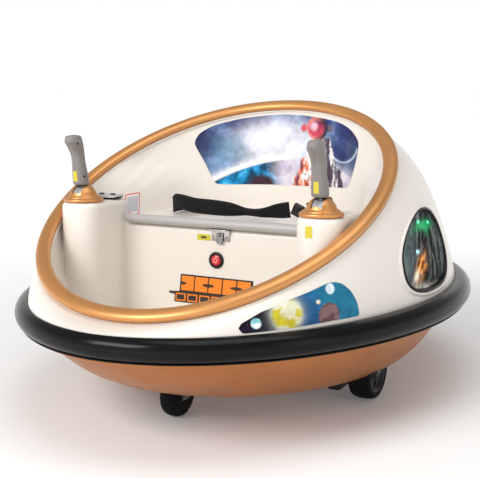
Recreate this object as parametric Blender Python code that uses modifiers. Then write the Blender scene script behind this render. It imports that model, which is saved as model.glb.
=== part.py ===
"""Battery ride-on bumper car for a toddler: a dished body inside an oval bumper.

Metres, +Z up. The origin is on the ground under the middle of the bumper, the
front of the car faces -Y and the rider's left hand is on the +X side.
"""
import math

import bmesh
import bpy
from mathutils import Matrix, Vector

OBJECT_NAME = "toddler_bumper_car"
GAP = 0.0004                      # air between two pieces that rest on each other
SKIN = 0.003                      # wall of every moulded shell
LOOP_STEPS = 36                   # facets round the big oval loops

# Bumper: the widest piece, an oval ring
BUMPER_HALF_WIDTH = 0.380
BUMPER_HALF_LENGTH = 0.513
BUMPER_Z = 0.169
BUMPER_RADIUS = 0.0185
OVAL_POWER = 1.93
BUMPER_LIP_Z = 0.1495
HOLE_FOR_SCREW = 0.0024

# Upper shell
BASE_HALF_WIDTH = 0.349
BASE_HALF_LENGTH = 0.499
BASE_Z = 0.1880                   # where the shell leaves the bumper's crown
BASE_LOW_Z = 0.1840               # underside of the shell's flange, let into the bumper
SEAM_HALF_WIDTH = 0.337
SEAM_HALF_LENGTH = 0.474

# Rim: a tilted oval ring round the cockpit
RIM_HALF_WIDTH = 0.2870
RIM_HALF_LENGTH = 0.3278
RIM_POWER = 2.03
RIM_WIDENING = 0.014
RIM_Y = -0.152
RIM_Z = 0.3504
RIM_TILT = math.radians(26.88)
RIM_SECTION_HALF_WIDTH = 0.0125
RIM_SECTION_HALF_HEIGHT = 0.0087
RIM_FLAT = -0.0060
EDGE_INSET = 0.0075
EDGE_DROP = 0.0085

CHARGE_T = 0.10

# Lower shell
BOWL_HALF_WIDTH = 0.339
BOWL_HALF_LENGTH = 0.477
BOWL_Z = 0.1455
BOWL_FLAT_HALF_WIDTH = 0.233
BOWL_FLAT_HALF_LENGTH = 0.2565
BOWL_FLAT_Z = 0.044
BOWL_FLANGE_THICKNESS = 0.0030

# Cockpit
FLOOR_Z = 0.125
SEAT_TOP_Z = 0.3035
SEAT_THICKNESS = 0.0125
DECK_Z = SEAT_TOP_Z - SEAT_THICKNESS - GAP
RISER_Y = -0.154
SEAT_FRONT_Y = -0.150
ROLL_RADIUS = 0.0082
ROLL_HALF_LENGTH = 0.183
ROLL_Z = 0.2992
ROLL_Y = SEAT_FRONT_Y - ROLL_RADIUS - GAP
SEAT_REAR_Y = 0.088
SEAT_HALF_WIDTH = 0.172
LID_CORNER_CLEARANCE = 0.024
POD_X = 0.2242
POD_Y = -0.2253
POD_RADIUS = 0.0370
POD_TOP_Z = 0.333
POD_REAR_Y = -0.1425
POD_WALL = 0.0045

# Sticks
STICK_Z = 0.3385
DRUM_RADIUS = 0.0205
DRUM_HALF_WIDTH = 0.0085
STICK_HOLE_RADIUS = 0.0228
GRIP_LEAN = math.radians(7.8)
GRIP_FORWARD = 0.0050             # the grip stands this far before the drum's axis
GRIP_BOTTOM = 0.0235

# Seat belt
BELT_HALF_WIDTH = 0.014
BELT_HALF_THICKNESS = 0.0012

# Latch under the seat's front edge
LATCH_X = 0.0101
LATCH_Y = -0.159
LATCH_PIVOT_Z = 0.2808
LATCH_HALF_WIDTH = 0.0060
LATCH_LENGTH = 0.0150
LEDGE_HALF_WIDTH = 0.0175
LEDGE_THICKNESS = 0.0020
LATCH_TOP_Z = ROLL_Z - ROLL_RADIUS - GAP

# Running gear
DRIVE_X = 0.2386
DRIVE_Y = -0.048
DRIVE_RADIUS = 0.050
DRIVE_HALF_WIDTH = 0.020
GEAR_MODULE = 0.0028
PINION_TEETH = 8
GEAR_TEETH = 20
GEAR_X = 0.190
CASTER_PIVOT_Y = 0.300
CASTER_TRAIL = 0.020
CASTER_RADIUS = 0.0375
CASTER_HALF_WIDTH = 0.013
CASTER_CUP_RADIUS = 0.064
CASTER_CUP_TOP = 0.0960


# ---------------------------------------------------------------- helpers

def make_material(name, colour, roughness, metallic=0.0):
    """A plain Principled material."""
    material = bpy.data.materials.get(name) or bpy.data.materials.new(name)
    material.use_nodes = True
    shader = material.node_tree.nodes["Principled BSDF"]
    shader.inputs["Base Color"].default_value = (*colour, 1.0)
    shader.inputs["Roughness"].default_value = roughness
    shader.inputs["Metallic"].default_value = metallic
    material.diffuse_color = (*colour, 1.0)
    return material


def cream_plastic():
    return make_material("cream_plastic", (0.80, 0.76, 0.69), 0.30)


def copper_plastic():
    return make_material("copper_plastic", (0.58, 0.28, 0.10), 0.35, 0.55)


def black_rubber():
    return make_material("black_rubber", (0.015, 0.014, 0.016), 0.42)


def black_plastic():
    return make_material("black_plastic", (0.02, 0.02, 0.022), 0.45)


def grey_plastic():
    return make_material("grey_plastic", (0.33, 0.31, 0.29), 0.45)


def bright_steel():
    return make_material("bright_steel", (0.62, 0.62, 0.60), 0.28, 1.0)


def white_nylon():
    return make_material("white_nylon", (0.78, 0.77, 0.72), 0.45)


def clear_plastic():
    return make_material("clear_plastic", (0.85, 0.88, 0.88), 0.06)


def chromed_plastic():
    return make_material("chromed_plastic", (0.55, 0.56, 0.58), 0.10, 1.0)


def red_plastic():
    return make_material("red_plastic", (0.60, 0.03, 0.03), 0.30)


def webbing():
    return make_material("webbing", (0.02, 0.02, 0.02), 0.85)


def collection_named(name):
    """The collection of that name, made and linked when it is new."""
    found = bpy.data.collections.get(name)
    if found is None:
        found = bpy.data.collections.new(name)
        bpy.context.scene.collection.children.link(found)
    return found


def add_object(name, mesh, material=None):
    """Put a mesh in the scene: a part when it has a material, else a helper."""
    part = bpy.data.objects.new(name, mesh)
    if material is None:
        collection_named("cutters").objects.link(part)
        part.hide_render = True
        part.display_type = "WIRE"
        return part
    collection_named(OBJECT_NAME).objects.link(part)
    mesh.materials.append(material)
    return part


def mesh_from(name, form):
    """Finish a bmesh as a mesh with outward faces and sharp edges kept."""
    bmesh.ops.recalc_face_normals(form, faces=form.faces)
    mesh = bpy.data.meshes.new(name)
    form.to_mesh(mesh)
    form.free()
    mesh.shade_smooth()
    mesh.set_sharp_from_angle(angle=math.radians(35))
    return mesh


def loft(name, rings, material=None, closed=False):
    """Skin a list of point rings; the ends are capped unless it closes on itself."""
    form = bmesh.new()
    rows = [[form.verts.new(point) for point in ring] for ring in rings]
    count = len(rows[0])
    pairs = list(zip(rows, rows[1:]))
    if closed:
        pairs.append((rows[-1], rows[0]))
    for low, high in pairs:
        for i in range(count):
            j = (i + 1) % count
            form.faces.new((low[i], low[j], high[j], high[i]))
    if not closed:
        form.faces.new(rows[0])
        form.faces.new(rows[-1])
    return add_object(name, mesh_from(name, form), material)


def box(name, low, high, material=None, bevel=0.0):
    """A box between two corners, with its long edges softened if bevel is given."""
    form = bmesh.new()
    bmesh.ops.create_cube(form, size=1.0)
    size = Vector(high) - Vector(low)
    centre = (Vector(high) + Vector(low)) / 2
    bmesh.ops.scale(form, vec=size, verts=form.verts)
    bmesh.ops.translate(form, vec=centre, verts=form.verts)
    if bevel:
        bmesh.ops.bevel(form, geom=form.edges[:], offset=bevel, segments=1, affect="EDGES")
    return add_object(name, mesh_from(name, form), material)


AXIS_TURNS = {
    "FRONT": Matrix.Rotation(math.radians(90), 4, "X"),
    "REAR": Matrix.Rotation(math.radians(-90), 4, "X"),
    "X": Matrix.Rotation(math.radians(90), 4, "Y"),
    "Y": Matrix.Rotation(math.radians(-90), 4, "X"),
    "Z": Matrix.Identity(4),
}


def rod(name, centre, radius, length, axis="Z", material=None, sides=12, radius_end=None):
    """A cylinder or cone centred on a point, its length along one axis."""
    form = bmesh.new()
    end = radius if radius_end is None else radius_end
    bmesh.ops.create_cone(form, cap_ends=True, segments=sides, radius1=radius, radius2=end,
                          depth=length)
    bmesh.ops.transform(form, matrix=Matrix.Translation(centre) @ AXIS_TURNS[axis],
                        verts=form.verts)
    return add_object(name, mesh_from(name, form), material)


def turned(name, profile, centre, axis="Z", material=None, steps=16, ring=False):
    """Turn a profile of (radius, height) points, listed top to bottom, round an axis."""
    mesh = bpy.data.meshes.new(name)
    count = len(profile)
    edges = [(i, i + 1) for i in range(count - 1)]
    if ring:
        edges.append((count - 1, 0))
    mesh.from_pydata([(radius, 0.0, height) for radius, height in profile], edges, [])
    part = add_object(name, mesh, material)
    part.matrix_world = Matrix.Translation(centre) @ AXIS_TURNS[axis]
    screw = part.modifiers.new("turn", "SCREW")
    screw.steps = steps
    screw.render_steps = steps
    screw.use_merge_vertices = True
    screw.merge_threshold = 0.00001
    screw.use_smooth_shade = True
    return outward(bake(part))


def outward(part):
    """Point a closed mesh's faces outwards."""
    form = bmesh.new()
    form.from_mesh(part.data)
    bmesh.ops.recalc_face_normals(form, faces=form.faces)
    form.to_mesh(part.data)
    form.free()
    return part


def boolean(part, other, operation="DIFFERENCE"):
    """Cut, join or keep the overlap with another solid."""
    step = part.modifiers.new(operation.lower(), "BOOLEAN")
    step.operation = operation
    step.object = other
    step.solver = "EXACT"
    return part


def join_all(part, others):
    for other in others:
        boolean(part, other, "UNION")
    return part


def cut_all(part, others):
    for other in others:
        boolean(part, other)
    return part


def bake(part):
    """Replace a part's modifiers by the mesh that they make."""
    bpy.context.view_layer.update()
    graph = bpy.context.evaluated_depsgraph_get()
    mesh = bpy.data.meshes.new_from_object(part.evaluated_get(graph))
    mesh.transform(part.matrix_world)
    part.matrix_world = Matrix.Identity(4)
    part.modifiers.clear()
    part.data = mesh
    return part


def renamed(helper, name, material):
    """Turn a finished helper shape into a part."""
    mesh = bake(helper).data
    bpy.data.objects.remove(helper)
    mesh.name = name
    mesh.materials.clear()
    return add_object(name, mesh, material)


def set_pivot(part, pivot):
    """Move a part's origin to a joint axis without moving its shape."""
    shift = Matrix.Translation(-Vector(pivot)) @ part.matrix_world
    if part.modifiers:
        return part
    part.data = part.data.copy()
    part.data.transform(shift)
    part.matrix_world = Matrix.Translation(pivot)
    return part


# ---------------------------------------------------------------- body curves

def oval(half_x, half_y, power, angle, widening=0.0):
    """A point of a superellipse that widens a little towards +Y."""
    c = math.cos(angle)
    s = math.sin(angle)
    x = math.copysign(abs(c) ** (2 / power), c) * half_x
    y = math.copysign(abs(s) ** (2 / power), s)
    return Vector((x * (1 + widening * y), y * half_y))


def oval_normal(half_x, half_y, power, angle, widening=0.0):
    """The outward normal of that curve."""
    step = 0.02
    ahead = oval(half_x, half_y, power, angle + step, widening)
    behind = oval(half_x, half_y, power, angle - step, widening)
    along = (ahead - behind).normalized()
    return Vector((along.y, -along.x))


def loop_angles(steps=LOOP_STEPS):
    return [2 * math.pi * i / steps for i in range(steps)]


def rim_point(angle, outward=0.0, lift=0.0):
    """A point beside the rim's centre line: outward in the rim's plane, lift off it."""
    shape = (RIM_HALF_WIDTH, RIM_HALF_LENGTH, RIM_POWER, angle, RIM_WIDENING)
    flat = oval(*shape) + oval_normal(*shape) * outward
    y = flat.y * math.cos(RIM_TILT) - lift * math.sin(RIM_TILT)
    z = flat.y * math.sin(RIM_TILT) + lift * math.cos(RIM_TILT)
    return Vector((flat.x, RIM_Y + y, RIM_Z + z))


def curve_point(start, control, end, t):
    """Quadratic Bezier."""
    return start * (1 - t) ** 2 + control * (2 * t * (1 - t)) + end * t ** 2


def dome_point(angle, t):
    """Outer surface of the upper shell, from its base (t = 0) to the rim (t = 1)."""
    base = oval(BASE_HALF_WIDTH, BASE_HALF_LENGTH, OVAL_POWER, angle)
    start = Vector((base.x, base.y, BASE_Z))
    end = rim_point(angle, EDGE_INSET, -EDGE_DROP)
    rearward = (1 + math.sin(angle)) / 2
    lean = 0.239 + (0.514 - 0.239) * rearward
    rise = 1.162 + (0.896 - 1.162) * rearward
    control = start + Vector(((end.x - start.x) * lean, (end.y - start.y) * lean,
                              (end.z - start.z) * rise))
    return curve_point(start, control, end, t)


def dome_normal(angle, t):
    """Outward normal of the dome."""
    step = 0.01
    round_it = dome_point(angle + step, t) - dome_point(angle - step, t)
    up_it = dome_point(angle, t + step) - dome_point(angle, t - step)
    return round_it.cross(up_it).normalized()


def bowl_point(angle, t, inset=0.0):
    """Outer surface of the lower shell, from its top (t = 0) to its flat bottom (t = 1)."""
    top = oval(BOWL_HALF_WIDTH - inset, BOWL_HALF_LENGTH - inset, OVAL_POWER, angle)
    low = oval(BOWL_FLAT_HALF_WIDTH - inset / 2, BOWL_FLAT_HALF_LENGTH - inset / 2, 2.0, angle)
    start = Vector((top.x, top.y, BOWL_Z))
    end = Vector((low.x, low.y, BOWL_FLAT_Z + inset))
    control = Vector((start.x + (end.x - start.x) * 0.417, start.y + (end.y - start.y) * 0.417,
                      start.z + (end.z - start.z) * 0.977))
    return curve_point(start, control, end, t)


def bolster(point):
    """How far the tub's side wall bulges in beside the seat."""
    along = max(0.0, 1 - abs(point.y + 0.025) / 0.135)
    height = min(1.0, max(0.0, (0.400 - point.z) / 0.060))
    side = min(1.0, max(0.0, (abs(point.x) - 0.12) / 0.08))
    ease_along = along * along * (3 - 2 * along)
    ease_height = height * height * (3 - 2 * height)
    return 0.030 * ease_along * ease_height * side


def tub_point(angle, t, grow=0.0):
    """Cockpit wall from the rim (t = 0) to the edge of the floor (t = 1)."""
    start = rim_point(angle, grow - EDGE_INSET, -EDGE_DROP)
    low = oval(0.205 + grow, 0.235 + grow, 2.6, angle)
    end = Vector((low.x, low.y - 0.158, FLOOR_Z - grow))
    control = Vector((start.x + (end.x - start.x) * 0.30, start.y + (end.y - start.y) * 0.30,
                      end.z + (start.z - end.z) * 0.05))
    point = curve_point(start, control, end, t)
    point.x -= math.copysign(bolster(point), point.x)
    return point


def tub_volume(name, grow, lift):
    """The space inside the cockpit wall as a closed solid, raised above the rim by lift."""
    rings = []
    if lift:
        up = Vector((0.0, -math.sin(RIM_TILT), math.cos(RIM_TILT))) * lift
        rings.append([tub_point(angle, 0.0, grow) + up for angle in loop_angles()])
    for step in (0.0, 0.10, 0.22, 0.36, 0.54, 0.76, 1.0):
        rings.append([tub_point(angle, step, grow) for angle in loop_angles()])
    return loft(name, rings)


# ---------------------------------------------------------------- body shells

def perimeter_screw_places():
    """Eight points midway over the seam flange, between the big ovals."""
    half_x = (SEAM_HALF_WIDTH + BASE_HALF_WIDTH) / 2 + 0.0012
    half_y = (SEAM_HALF_LENGTH + BASE_HALF_LENGTH) / 2
    places = []
    for i in range(8):
        angle = math.radians(22.5 + 45 * i)
        flat = oval(half_x, half_y, OVAL_POWER, angle)
        places.append((flat.x, flat.y))
    return places


def holes(name, places, radius, low, high, sides=8):
    """Vertical cutters at a list of places."""
    middle = (low + high) / 2
    return [rod(f"{name}_{i}", (x, y, middle), radius, high - low, "Z", None, sides)
            for i, (x, y) in enumerate(places)]


LAMP_STEPS = 20
LAMP_ANGLE = math.radians(-1.0)
LAMP_ANGLE_SPAN = math.radians(12.4)
LAMP_LEAN = math.radians(2.2)
LAMP_T = 0.320
LAMP_T_SPAN = 0.265


def lamp_place(side, around, reach):
    """Dome coordinates of a lamp point: round above, squarer along its lower edge."""
    c = math.cos(around)
    s = math.sin(around)
    power = 2.0 if s > 0 else 2.8
    across = math.copysign(abs(c) ** (2 / power), c) * reach
    upward = math.copysign(abs(s) ** (2 / power), s) * reach
    t = LAMP_T + LAMP_T_SPAN * upward
    angle = LAMP_ANGLE + LAMP_ANGLE_SPAN * across * (1 - 0.06 * upward) + LAMP_LEAN * upward
    if side < 0:
        angle = math.pi - angle
    return angle, t


def lamp_point(side, around, reach, lift):
    """A lamp point lifted off the dome along its normal."""
    angle, t = lamp_place(side, around, reach)
    return dome_point(angle, t) + dome_normal(angle, t) * lift


def lamp_ring(side, reach, lift):
    return [lamp_point(side, 2 * math.pi * i / LAMP_STEPS, reach, lift)
            for i in range(LAMP_STEPS)]


def lamp_hole(side):
    depth = 0.012
    layers = ((0.2, -depth), (0.7, -depth), (1.075, -depth), (1.075, depth), (0.7, depth),
              (0.2, depth))
    return loft(f"lamp_hole_{side}", [lamp_ring(side, reach, lift) for reach, lift in layers])


def upper_shell():
    """The cream dome: a base flange on the bumper, then up to the rim."""
    steps = (0.0, 0.16, 0.32, 0.48, 0.64, 0.80, 1.0)
    form = bmesh.new()
    rows = []
    flange = []
    for angle in loop_angles():
        flat = oval(SEAM_HALF_WIDTH - 0.004, SEAM_HALF_LENGTH - 0.004, OVAL_POWER, angle)
        flange.append(form.verts.new((flat.x, flat.y, BASE_LOW_Z)))
    rows.append(flange)
    rows.append([form.verts.new((*dome_point(angle, 0.0).xy, BASE_LOW_Z))
                 for angle in loop_angles()])
    for step in steps:
        rows.append([form.verts.new(dome_point(angle, step)) for angle in loop_angles()])
    count = len(flange)
    for low, high in zip(rows, rows[1:]):
        for i in range(count):
            j = (i + 1) % count
            form.faces.new((low[i], low[j], high[j], high[i]))
    mesh = bpy.data.meshes.new("upper_shell")
    form.to_mesh(mesh)
    form.free()
    part = add_object("upper_shell", mesh, cream_plastic())
    wall = part.modifiers.new("wall", "SOLIDIFY")
    wall.thickness = SKIN
    wall.offset = -1.0
    wall.use_even_offset = True
    cut_all(part, holes("shell_pilot", perimeter_screw_places(), HOLE_FOR_SCREW,
                        BASE_Z - 0.01, BASE_Z + 0.012))
    cut_all(part, [lamp_hole(1), lamp_hole(-1)])
    charge_hole = rod("charge_hole", (0, 0, 0), 0.0103, 0.03, "Z", None, 12)
    charge_hole.matrix_world = charge_frame()
    boolean(part, charge_hole)
    return part


def bumper_section(angle):
    """The bumper's section at one place round the oval, from its inner top edge round."""
    shape = (BUMPER_HALF_WIDTH, BUMPER_HALF_LENGTH, OVAL_POWER, angle)
    outer = oval(*shape)
    normal = oval_normal(*shape)
    inner = oval(SEAM_HALF_WIDTH, SEAM_HALF_LENGTH, OVAL_POWER, angle)
    base = oval(BASE_HALF_WIDTH, BASE_HALF_LENGTH, OVAL_POWER, angle)
    shelf = (outer - base).dot(normal) - 0.0008
    crown = min(BUMPER_RADIUS, shelf - 0.0010)
    top_turn = math.acos(1 - crown / BUMPER_RADIUS)
    crown_z = BUMPER_Z + BUMPER_RADIUS * math.sin(top_turn)
    steps = [(shelf, BASE_LOW_Z - GAP), (shelf, crown_z)]
    for part_turn in (top_turn, top_turn * 0.66, top_turn * 0.33, 0.0, math.radians(-30),
                      math.radians(-62)):
        steps.append((BUMPER_RADIUS * (1 - math.cos(part_turn)),
                      BUMPER_Z + BUMPER_RADIUS * math.sin(part_turn)))
    steps += [(0.0125, 0.1528), (0.0090, 0.1518), (0.0090, BUMPER_LIP_Z)]
    points = [Vector((inner.x, inner.y, BASE_LOW_Z - GAP))]
    for inset, height in steps:
        flat = outer - normal * inset
        points.append(Vector((flat.x, flat.y, height)))
    points.append(Vector((inner.x, inner.y, BUMPER_LIP_Z)))
    return points


def bumper_ring():
    part = loft("bumper_ring", [bumper_section(angle) for angle in loop_angles()],
                black_rubber(), closed=True)
    cut_all(part, holes("bumper_hole", perimeter_screw_places(), HOLE_FOR_SCREW,
                        BUMPER_LIP_Z - 0.01, BASE_Z + 0.01))
    return part


def rim_trim():
    """Copper ring, oval in section with a flat underside."""
    start = math.asin(RIM_FLAT / RIM_SECTION_HALF_HEIGHT)
    turns = [start + (math.pi - 2 * start) * i / 7 for i in range(8)]
    sections = []
    for angle in loop_angles():
        sections.append([rim_point(angle, RIM_SECTION_HALF_WIDTH * math.cos(turn),
                                   RIM_SECTION_HALF_HEIGHT * math.sin(turn)) for turn in turns])
    return loft("rim_trim", sections, copper_plastic(), closed=True)


def drive_bay(name, side, grow):
    """The space over a drive wheel and its gearbox, open below."""
    low = (0.086 - grow, DRIVE_Y - 0.062 - grow, 0.0)
    high = (0.262 + grow, DRIVE_Y + 0.062 + grow, 0.112 + grow)
    if side < 0:
        low, high = (-high[0], low[1], low[2]), (-low[0], high[1], high[2])
    return box(name, low, high)


def caster_cup(name, end, grow):
    """The round well over a caster, open below."""
    top = CASTER_CUP_TOP + grow
    return rod(name, (0.0, end * CASTER_PIVOT_Y, top / 2), CASTER_CUP_RADIUS + grow, top,
               "Z", None, 20)


def floor_screw_places():
    return [(0.135, -0.185), (-0.135, -0.185), (0.150, 0.060), (-0.150, 0.060)]


def bowl_volume(name, inset, top_extra):
    steps = (0.0, 0.17, 0.36, 0.56, 0.78, 1.0)
    rings = []
    if top_extra:
        rings.append([bowl_point(angle, 0.0, inset) + Vector((0, 0, top_extra))
                      for angle in loop_angles()])
    for step in steps:
        rings.append([bowl_point(angle, step, inset) for angle in loop_angles()])
    return loft(name, rings)


def bowl_flange():
    """The flat lip round the lower shell that carries the bumper."""
    rings = []
    for inset, height in ((0.0, 0.0), (0.0, BOWL_FLANGE_THICKNESS)):
        ring = []
        for angle in loop_angles():
            flat = oval(BASE_HALF_WIDTH + 0.004, BASE_HALF_LENGTH - 0.002, OVAL_POWER, angle)
            ring.append(Vector((flat.x, flat.y, BOWL_Z + height)))
        rings.append(ring)
    return loft("bowl_flange", rings)


def lower_shell():
    """The copper bowl with its drive bays and caster wells."""
    wells = [drive_bay("bay_left", 1, SKIN), drive_bay("bay_right", -1, SKIN),
             caster_cup("cup_front", -1, SKIN), caster_cup("cup_rear", 1, SKIN)]
    inside = bake(cut_all(bowl_volume("bowl_inside", SKIN, 0.03), wells))
    spaces = [drive_bay("bay_space_left", 1, 0.0), drive_bay("bay_space_right", -1, 0.0),
              caster_cup("cup_space_front", -1, 0.0), caster_cup("cup_space_rear", 1, 0.0)]
    part = bowl_volume("lower_shell_form", 0.0, 0.0)
    join_all(part, [bowl_flange()])
    cut_all(part, [inside] + spaces)
    cut_all(part, holes("flange_hole", perimeter_screw_places(), HOLE_FOR_SCREW,
                        BOWL_Z - 0.02, BOWL_Z + 0.02))
    cut_all(part, holes("floor_hole", floor_screw_places(), 0.0030, 0.03, 0.06))
    for end in (-1, 1):
        boolean(part, rod(f"caster_stem_hole_{end}", (0, end * CASTER_PIVOT_Y, 0.10), 0.0088,
                          0.03, "Z", None, 12))
    return renamed(part, "lower_shell", copper_plastic())


def pod_outline(grow):
    """Plan of the left pod: round in front of the stick, square with soft corners behind."""
    radius = POD_RADIUS + grow
    rear = POD_REAR_Y + grow
    corner = 0.012
    outline = []
    for i in range(9):
        turn = math.pi + math.pi * i / 8
        outline.append((POD_X + radius * math.cos(turn), POD_Y + radius * math.sin(turn)))
    for x_sign, first in ((1, 0.0), (-1, math.pi / 2)):
        for i in range(3):
            turn = first + math.pi / 4 * i
            outline.append((POD_X + x_sign * (radius - corner) + corner * math.cos(turn),
                            rear - corner + corner * math.sin(turn)))
    return outline


def pod_solid(name, side, grow, low, high, rounding=0.0):
    """A column round a stick that runs back to the seat."""
    levels = [(low, 0.0), (high - rounding, 0.0)]
    if rounding:
        levels += [(high - rounding * 0.3, 0.3), (high, 1.0)]
    middle = Vector((POD_X, (POD_Y + POD_REAR_Y) / 2))
    rings = []
    for height, pull in levels:
        ring = []
        for x, y in pod_outline(grow):
            inward = (middle - Vector((x, y))).normalized() * rounding * pull
            ring.append(Vector((side * (x + inward.x), y + inward.y, height)))
        rings.append(ring)
    return loft(name, rings)


def above_rim():
    """Everything over the tub's top edge except room for the two pods."""
    slab = box("above_rim", (-0.5, -0.6, 0.0007 - EDGE_DROP), (0.5, 0.6, 0.25))
    slab.matrix_world = (Matrix.Translation((0.0, RIM_Y, RIM_Z))
                         @ Matrix.Rotation(RIM_TILT, 4, "X"))
    rooms = [pod_solid(f"pod_room_{side}", side, 0.0015, 0.05, 0.60) for side in (1, -1)]
    return bake(cut_all(slab, rooms))


def cockpit_tub():
    """One moulding: side walls, footwell, seat riser, seat deck and both stick pods."""
    below_floor = FLOOR_Z - SKIN - 0.005
    pods = [pod_solid(f"pod_{side}", side, 0.0, below_floor, POD_TOP_Z, 0.006)
            for side in (1, -1)]
    block = box("seat_block", (-0.40, RISER_Y, below_floor - 0.002), (0.40, 0.30, DECK_Z))
    air = bake(cut_all(tub_volume("tub_air", 0.0, 0.30), pods + [block]))
    part = tub_volume("cockpit_tub_form", SKIN, 0.12)
    cut_all(part, [air, above_rim()])
    hollows = [pod_solid(f"pod_hollow_{side}", side, -POD_WALL, 0.05, POD_TOP_Z - SKIN)
               for side in (1, -1)]
    hollows.append(box("seat_hollow", (-0.40, RISER_Y + SKIN, 0.045), (0.40, 0.30, DECK_Z - SKIN)))
    hollows.append(box("battery_hatch", (-0.125, -0.120, DECK_Z - 0.02),
                       (0.125, 0.045, DECK_Z + 0.02)))
    cut_all(part, hollows)
    bosses = []
    for i, (x, y) in enumerate(floor_screw_places()):
        top = FLOOR_Z - 0.001 if y < RISER_Y else DECK_Z - 0.001
        low = BOWL_FLAT_Z + SKIN + GAP
        bosses.append(rod(f"boss_{i}", (x, y, (top + low) / 2), 0.0070, top - low, "Z", None, 8))
    join_all(part, bosses)
    cut_all(part, holes("boss_pilot", floor_screw_places(), HOLE_FOR_SCREW, 0.03, 0.066))
    for side in (1, -1):
        boolean(part, rod(f"stick_hole_{side}", (side * POD_X, POD_Y, POD_TOP_Z), STICK_HOLE_RADIUS, 0.02,
                          "Z", None, 16))
    boolean(part, rod("power_hole", (0.001, RISER_Y, 0.236), 0.0118, 0.03, "Y", None, 16))
    return renamed(part, "cockpit_tub", cream_plastic())


# ---------------------------------------------------------------- lamps

def lamp_gasket(side, word):
    """Black ring that seals a lens into the dome."""
    form = bmesh.new()
    sections = []
    for i in range(LAMP_STEPS):
        around = 2 * math.pi * i / LAMP_STEPS
        sections.append([form.verts.new(lamp_point(side, around, reach, lift))
                         for reach, lift in ((1.060, -0.0040), (1.060, 0.0016), (1.035, 0.0026),
                                             (1.005, 0.0016), (1.005, -0.0040))])
    count = len(sections[0])
    for a, b in zip(sections, sections[1:] + sections[:1]):
        for i in range(count):
            j = (i + 1) % count
            form.faces.new((a[i], a[j], b[j], b[i]))
    name = f"lamp_gasket_{word}"
    return add_object(name, mesh_from(name, form), black_rubber())


def lamp_shell(name, side, layers, material):
    """A dished plate over the lamp's outline: rings from the front round to the back."""
    rings = [lamp_ring(side, reach, lift) for reach, lift in layers]
    return loft(name, rings, material)


def lamp_lens(side, word):
    layers = ((0.30, 0.0052), (0.70, 0.0042), (0.985, 0.0012), (0.985, -0.0012),
              (0.70, 0.0020), (0.30, 0.0030))
    return lamp_shell(f"lamp_lens_{word}", side, layers, clear_plastic())


def lamp_reflector(side, word):
    layers = ((0.42, -0.0230), (0.80, -0.0160), (0.975, -0.0036), (0.985, -0.0050),
              (0.84, -0.0185), (0.46, -0.0255))
    return lamp_shell(f"lamp_reflector_{word}", side, layers, chromed_plastic())


# ---------------------------------------------------------------- sticks

def stick_base(side, word):
    """Copper flange with two cheeks and a slot between them for the drum."""
    centre = (side * POD_X, POD_Y, POD_TOP_Z + GAP)
    profile = [(0.0, 0.0296), (0.0100, 0.0275), (0.0180, 0.0217), (0.0230, 0.0135),
               (0.0244, 0.0066), (0.0300, 0.0052), (0.0345, 0.0026),
               (0.0343, 0.0), (0.0, 0.0)]
    part = turned(f"stick_base_{word}", profile, centre, "Z", copper_plastic(), 18)
    slot_half = DRUM_HALF_WIDTH + 0.0008
    x = side * POD_X
    boolean(part, box(f"stick_slot_{word}", (x - slot_half, POD_Y - 0.0225, POD_TOP_Z - 0.01),
                      (x + slot_half, POD_Y + 0.0225, POD_TOP_Z + 0.05)))
    return part


def stick_core(side, word):
    """Grey drum on the stick's axis, with the neck up into the grip and the lever below."""
    x = side * POD_X
    drum = rod(f"stick_core_{word}", (x, POD_Y, STICK_Z), DRUM_RADIUS, DRUM_HALF_WIDTH * 2, "X",
               grey_plastic(), 20)
    neck_low, neck_high = STICK_Z + 0.0100, STICK_Z + GRIP_BOTTOM - GAP
    neck = rod(f"stick_neck_{word}", (x, POD_Y, (neck_low + neck_high) / 2), 0.0052,
               neck_high - neck_low, "Z", None, 10)
    lever = box(f"stick_lever_{word}", (x - 0.004, POD_Y - 0.004, STICK_Z - 0.034),
                (x + 0.004, POD_Y + 0.004, STICK_Z - 0.010))
    join_all(drum, [neck, lever])
    bake(drum)
    return set_pivot(drum, (x, POD_Y, STICK_Z))


def grip_ring(side, half, height, forward, half_x, half_y, seam):
    """Half of an oval grip section on one side of the seam plane."""
    x = side * POD_X
    lean = math.tan(GRIP_LEAN) * height
    ring = []
    for i in range(9):
        turn = math.radians(-90 + 180 * i / 8)
        across = half_x * math.cos(turn)
        along = half_y * math.sin(turn)
        ring.append(Vector((x + half * (across + seam), POD_Y - GRIP_FORWARD - lean - forward + along,
                            STICK_Z + GRIP_BOTTOM + height)))
    return ring


def stick_grip(side, word, half, half_word):
    """One half of the moulded grip: waisted, with a head that leans forward."""
    seam = GAP / 2
    profile = ((0.0000, 0.0000, 0.0112, 0.0128), (0.0040, 0.0000, 0.0130, 0.0148),
               (0.0180, 0.0000, 0.0126, 0.0142), (0.0360, 0.0005, 0.0112, 0.0126),
               (0.0520, 0.0010, 0.0112, 0.0128), (0.0640, 0.0040, 0.0122, 0.0156),
               (0.0740, 0.0075, 0.0126, 0.0186), (0.0820, 0.0070, 0.0112, 0.0166),
               (0.0860, 0.0055, 0.0074, 0.0110))
    rings = [grip_ring(side, half, *row, seam) for row in profile]
    return set_pivot(loft(f"grip_{half_word}_{word}", rings, grey_plastic()),
                     (side * POD_X, POD_Y, STICK_Z))


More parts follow.
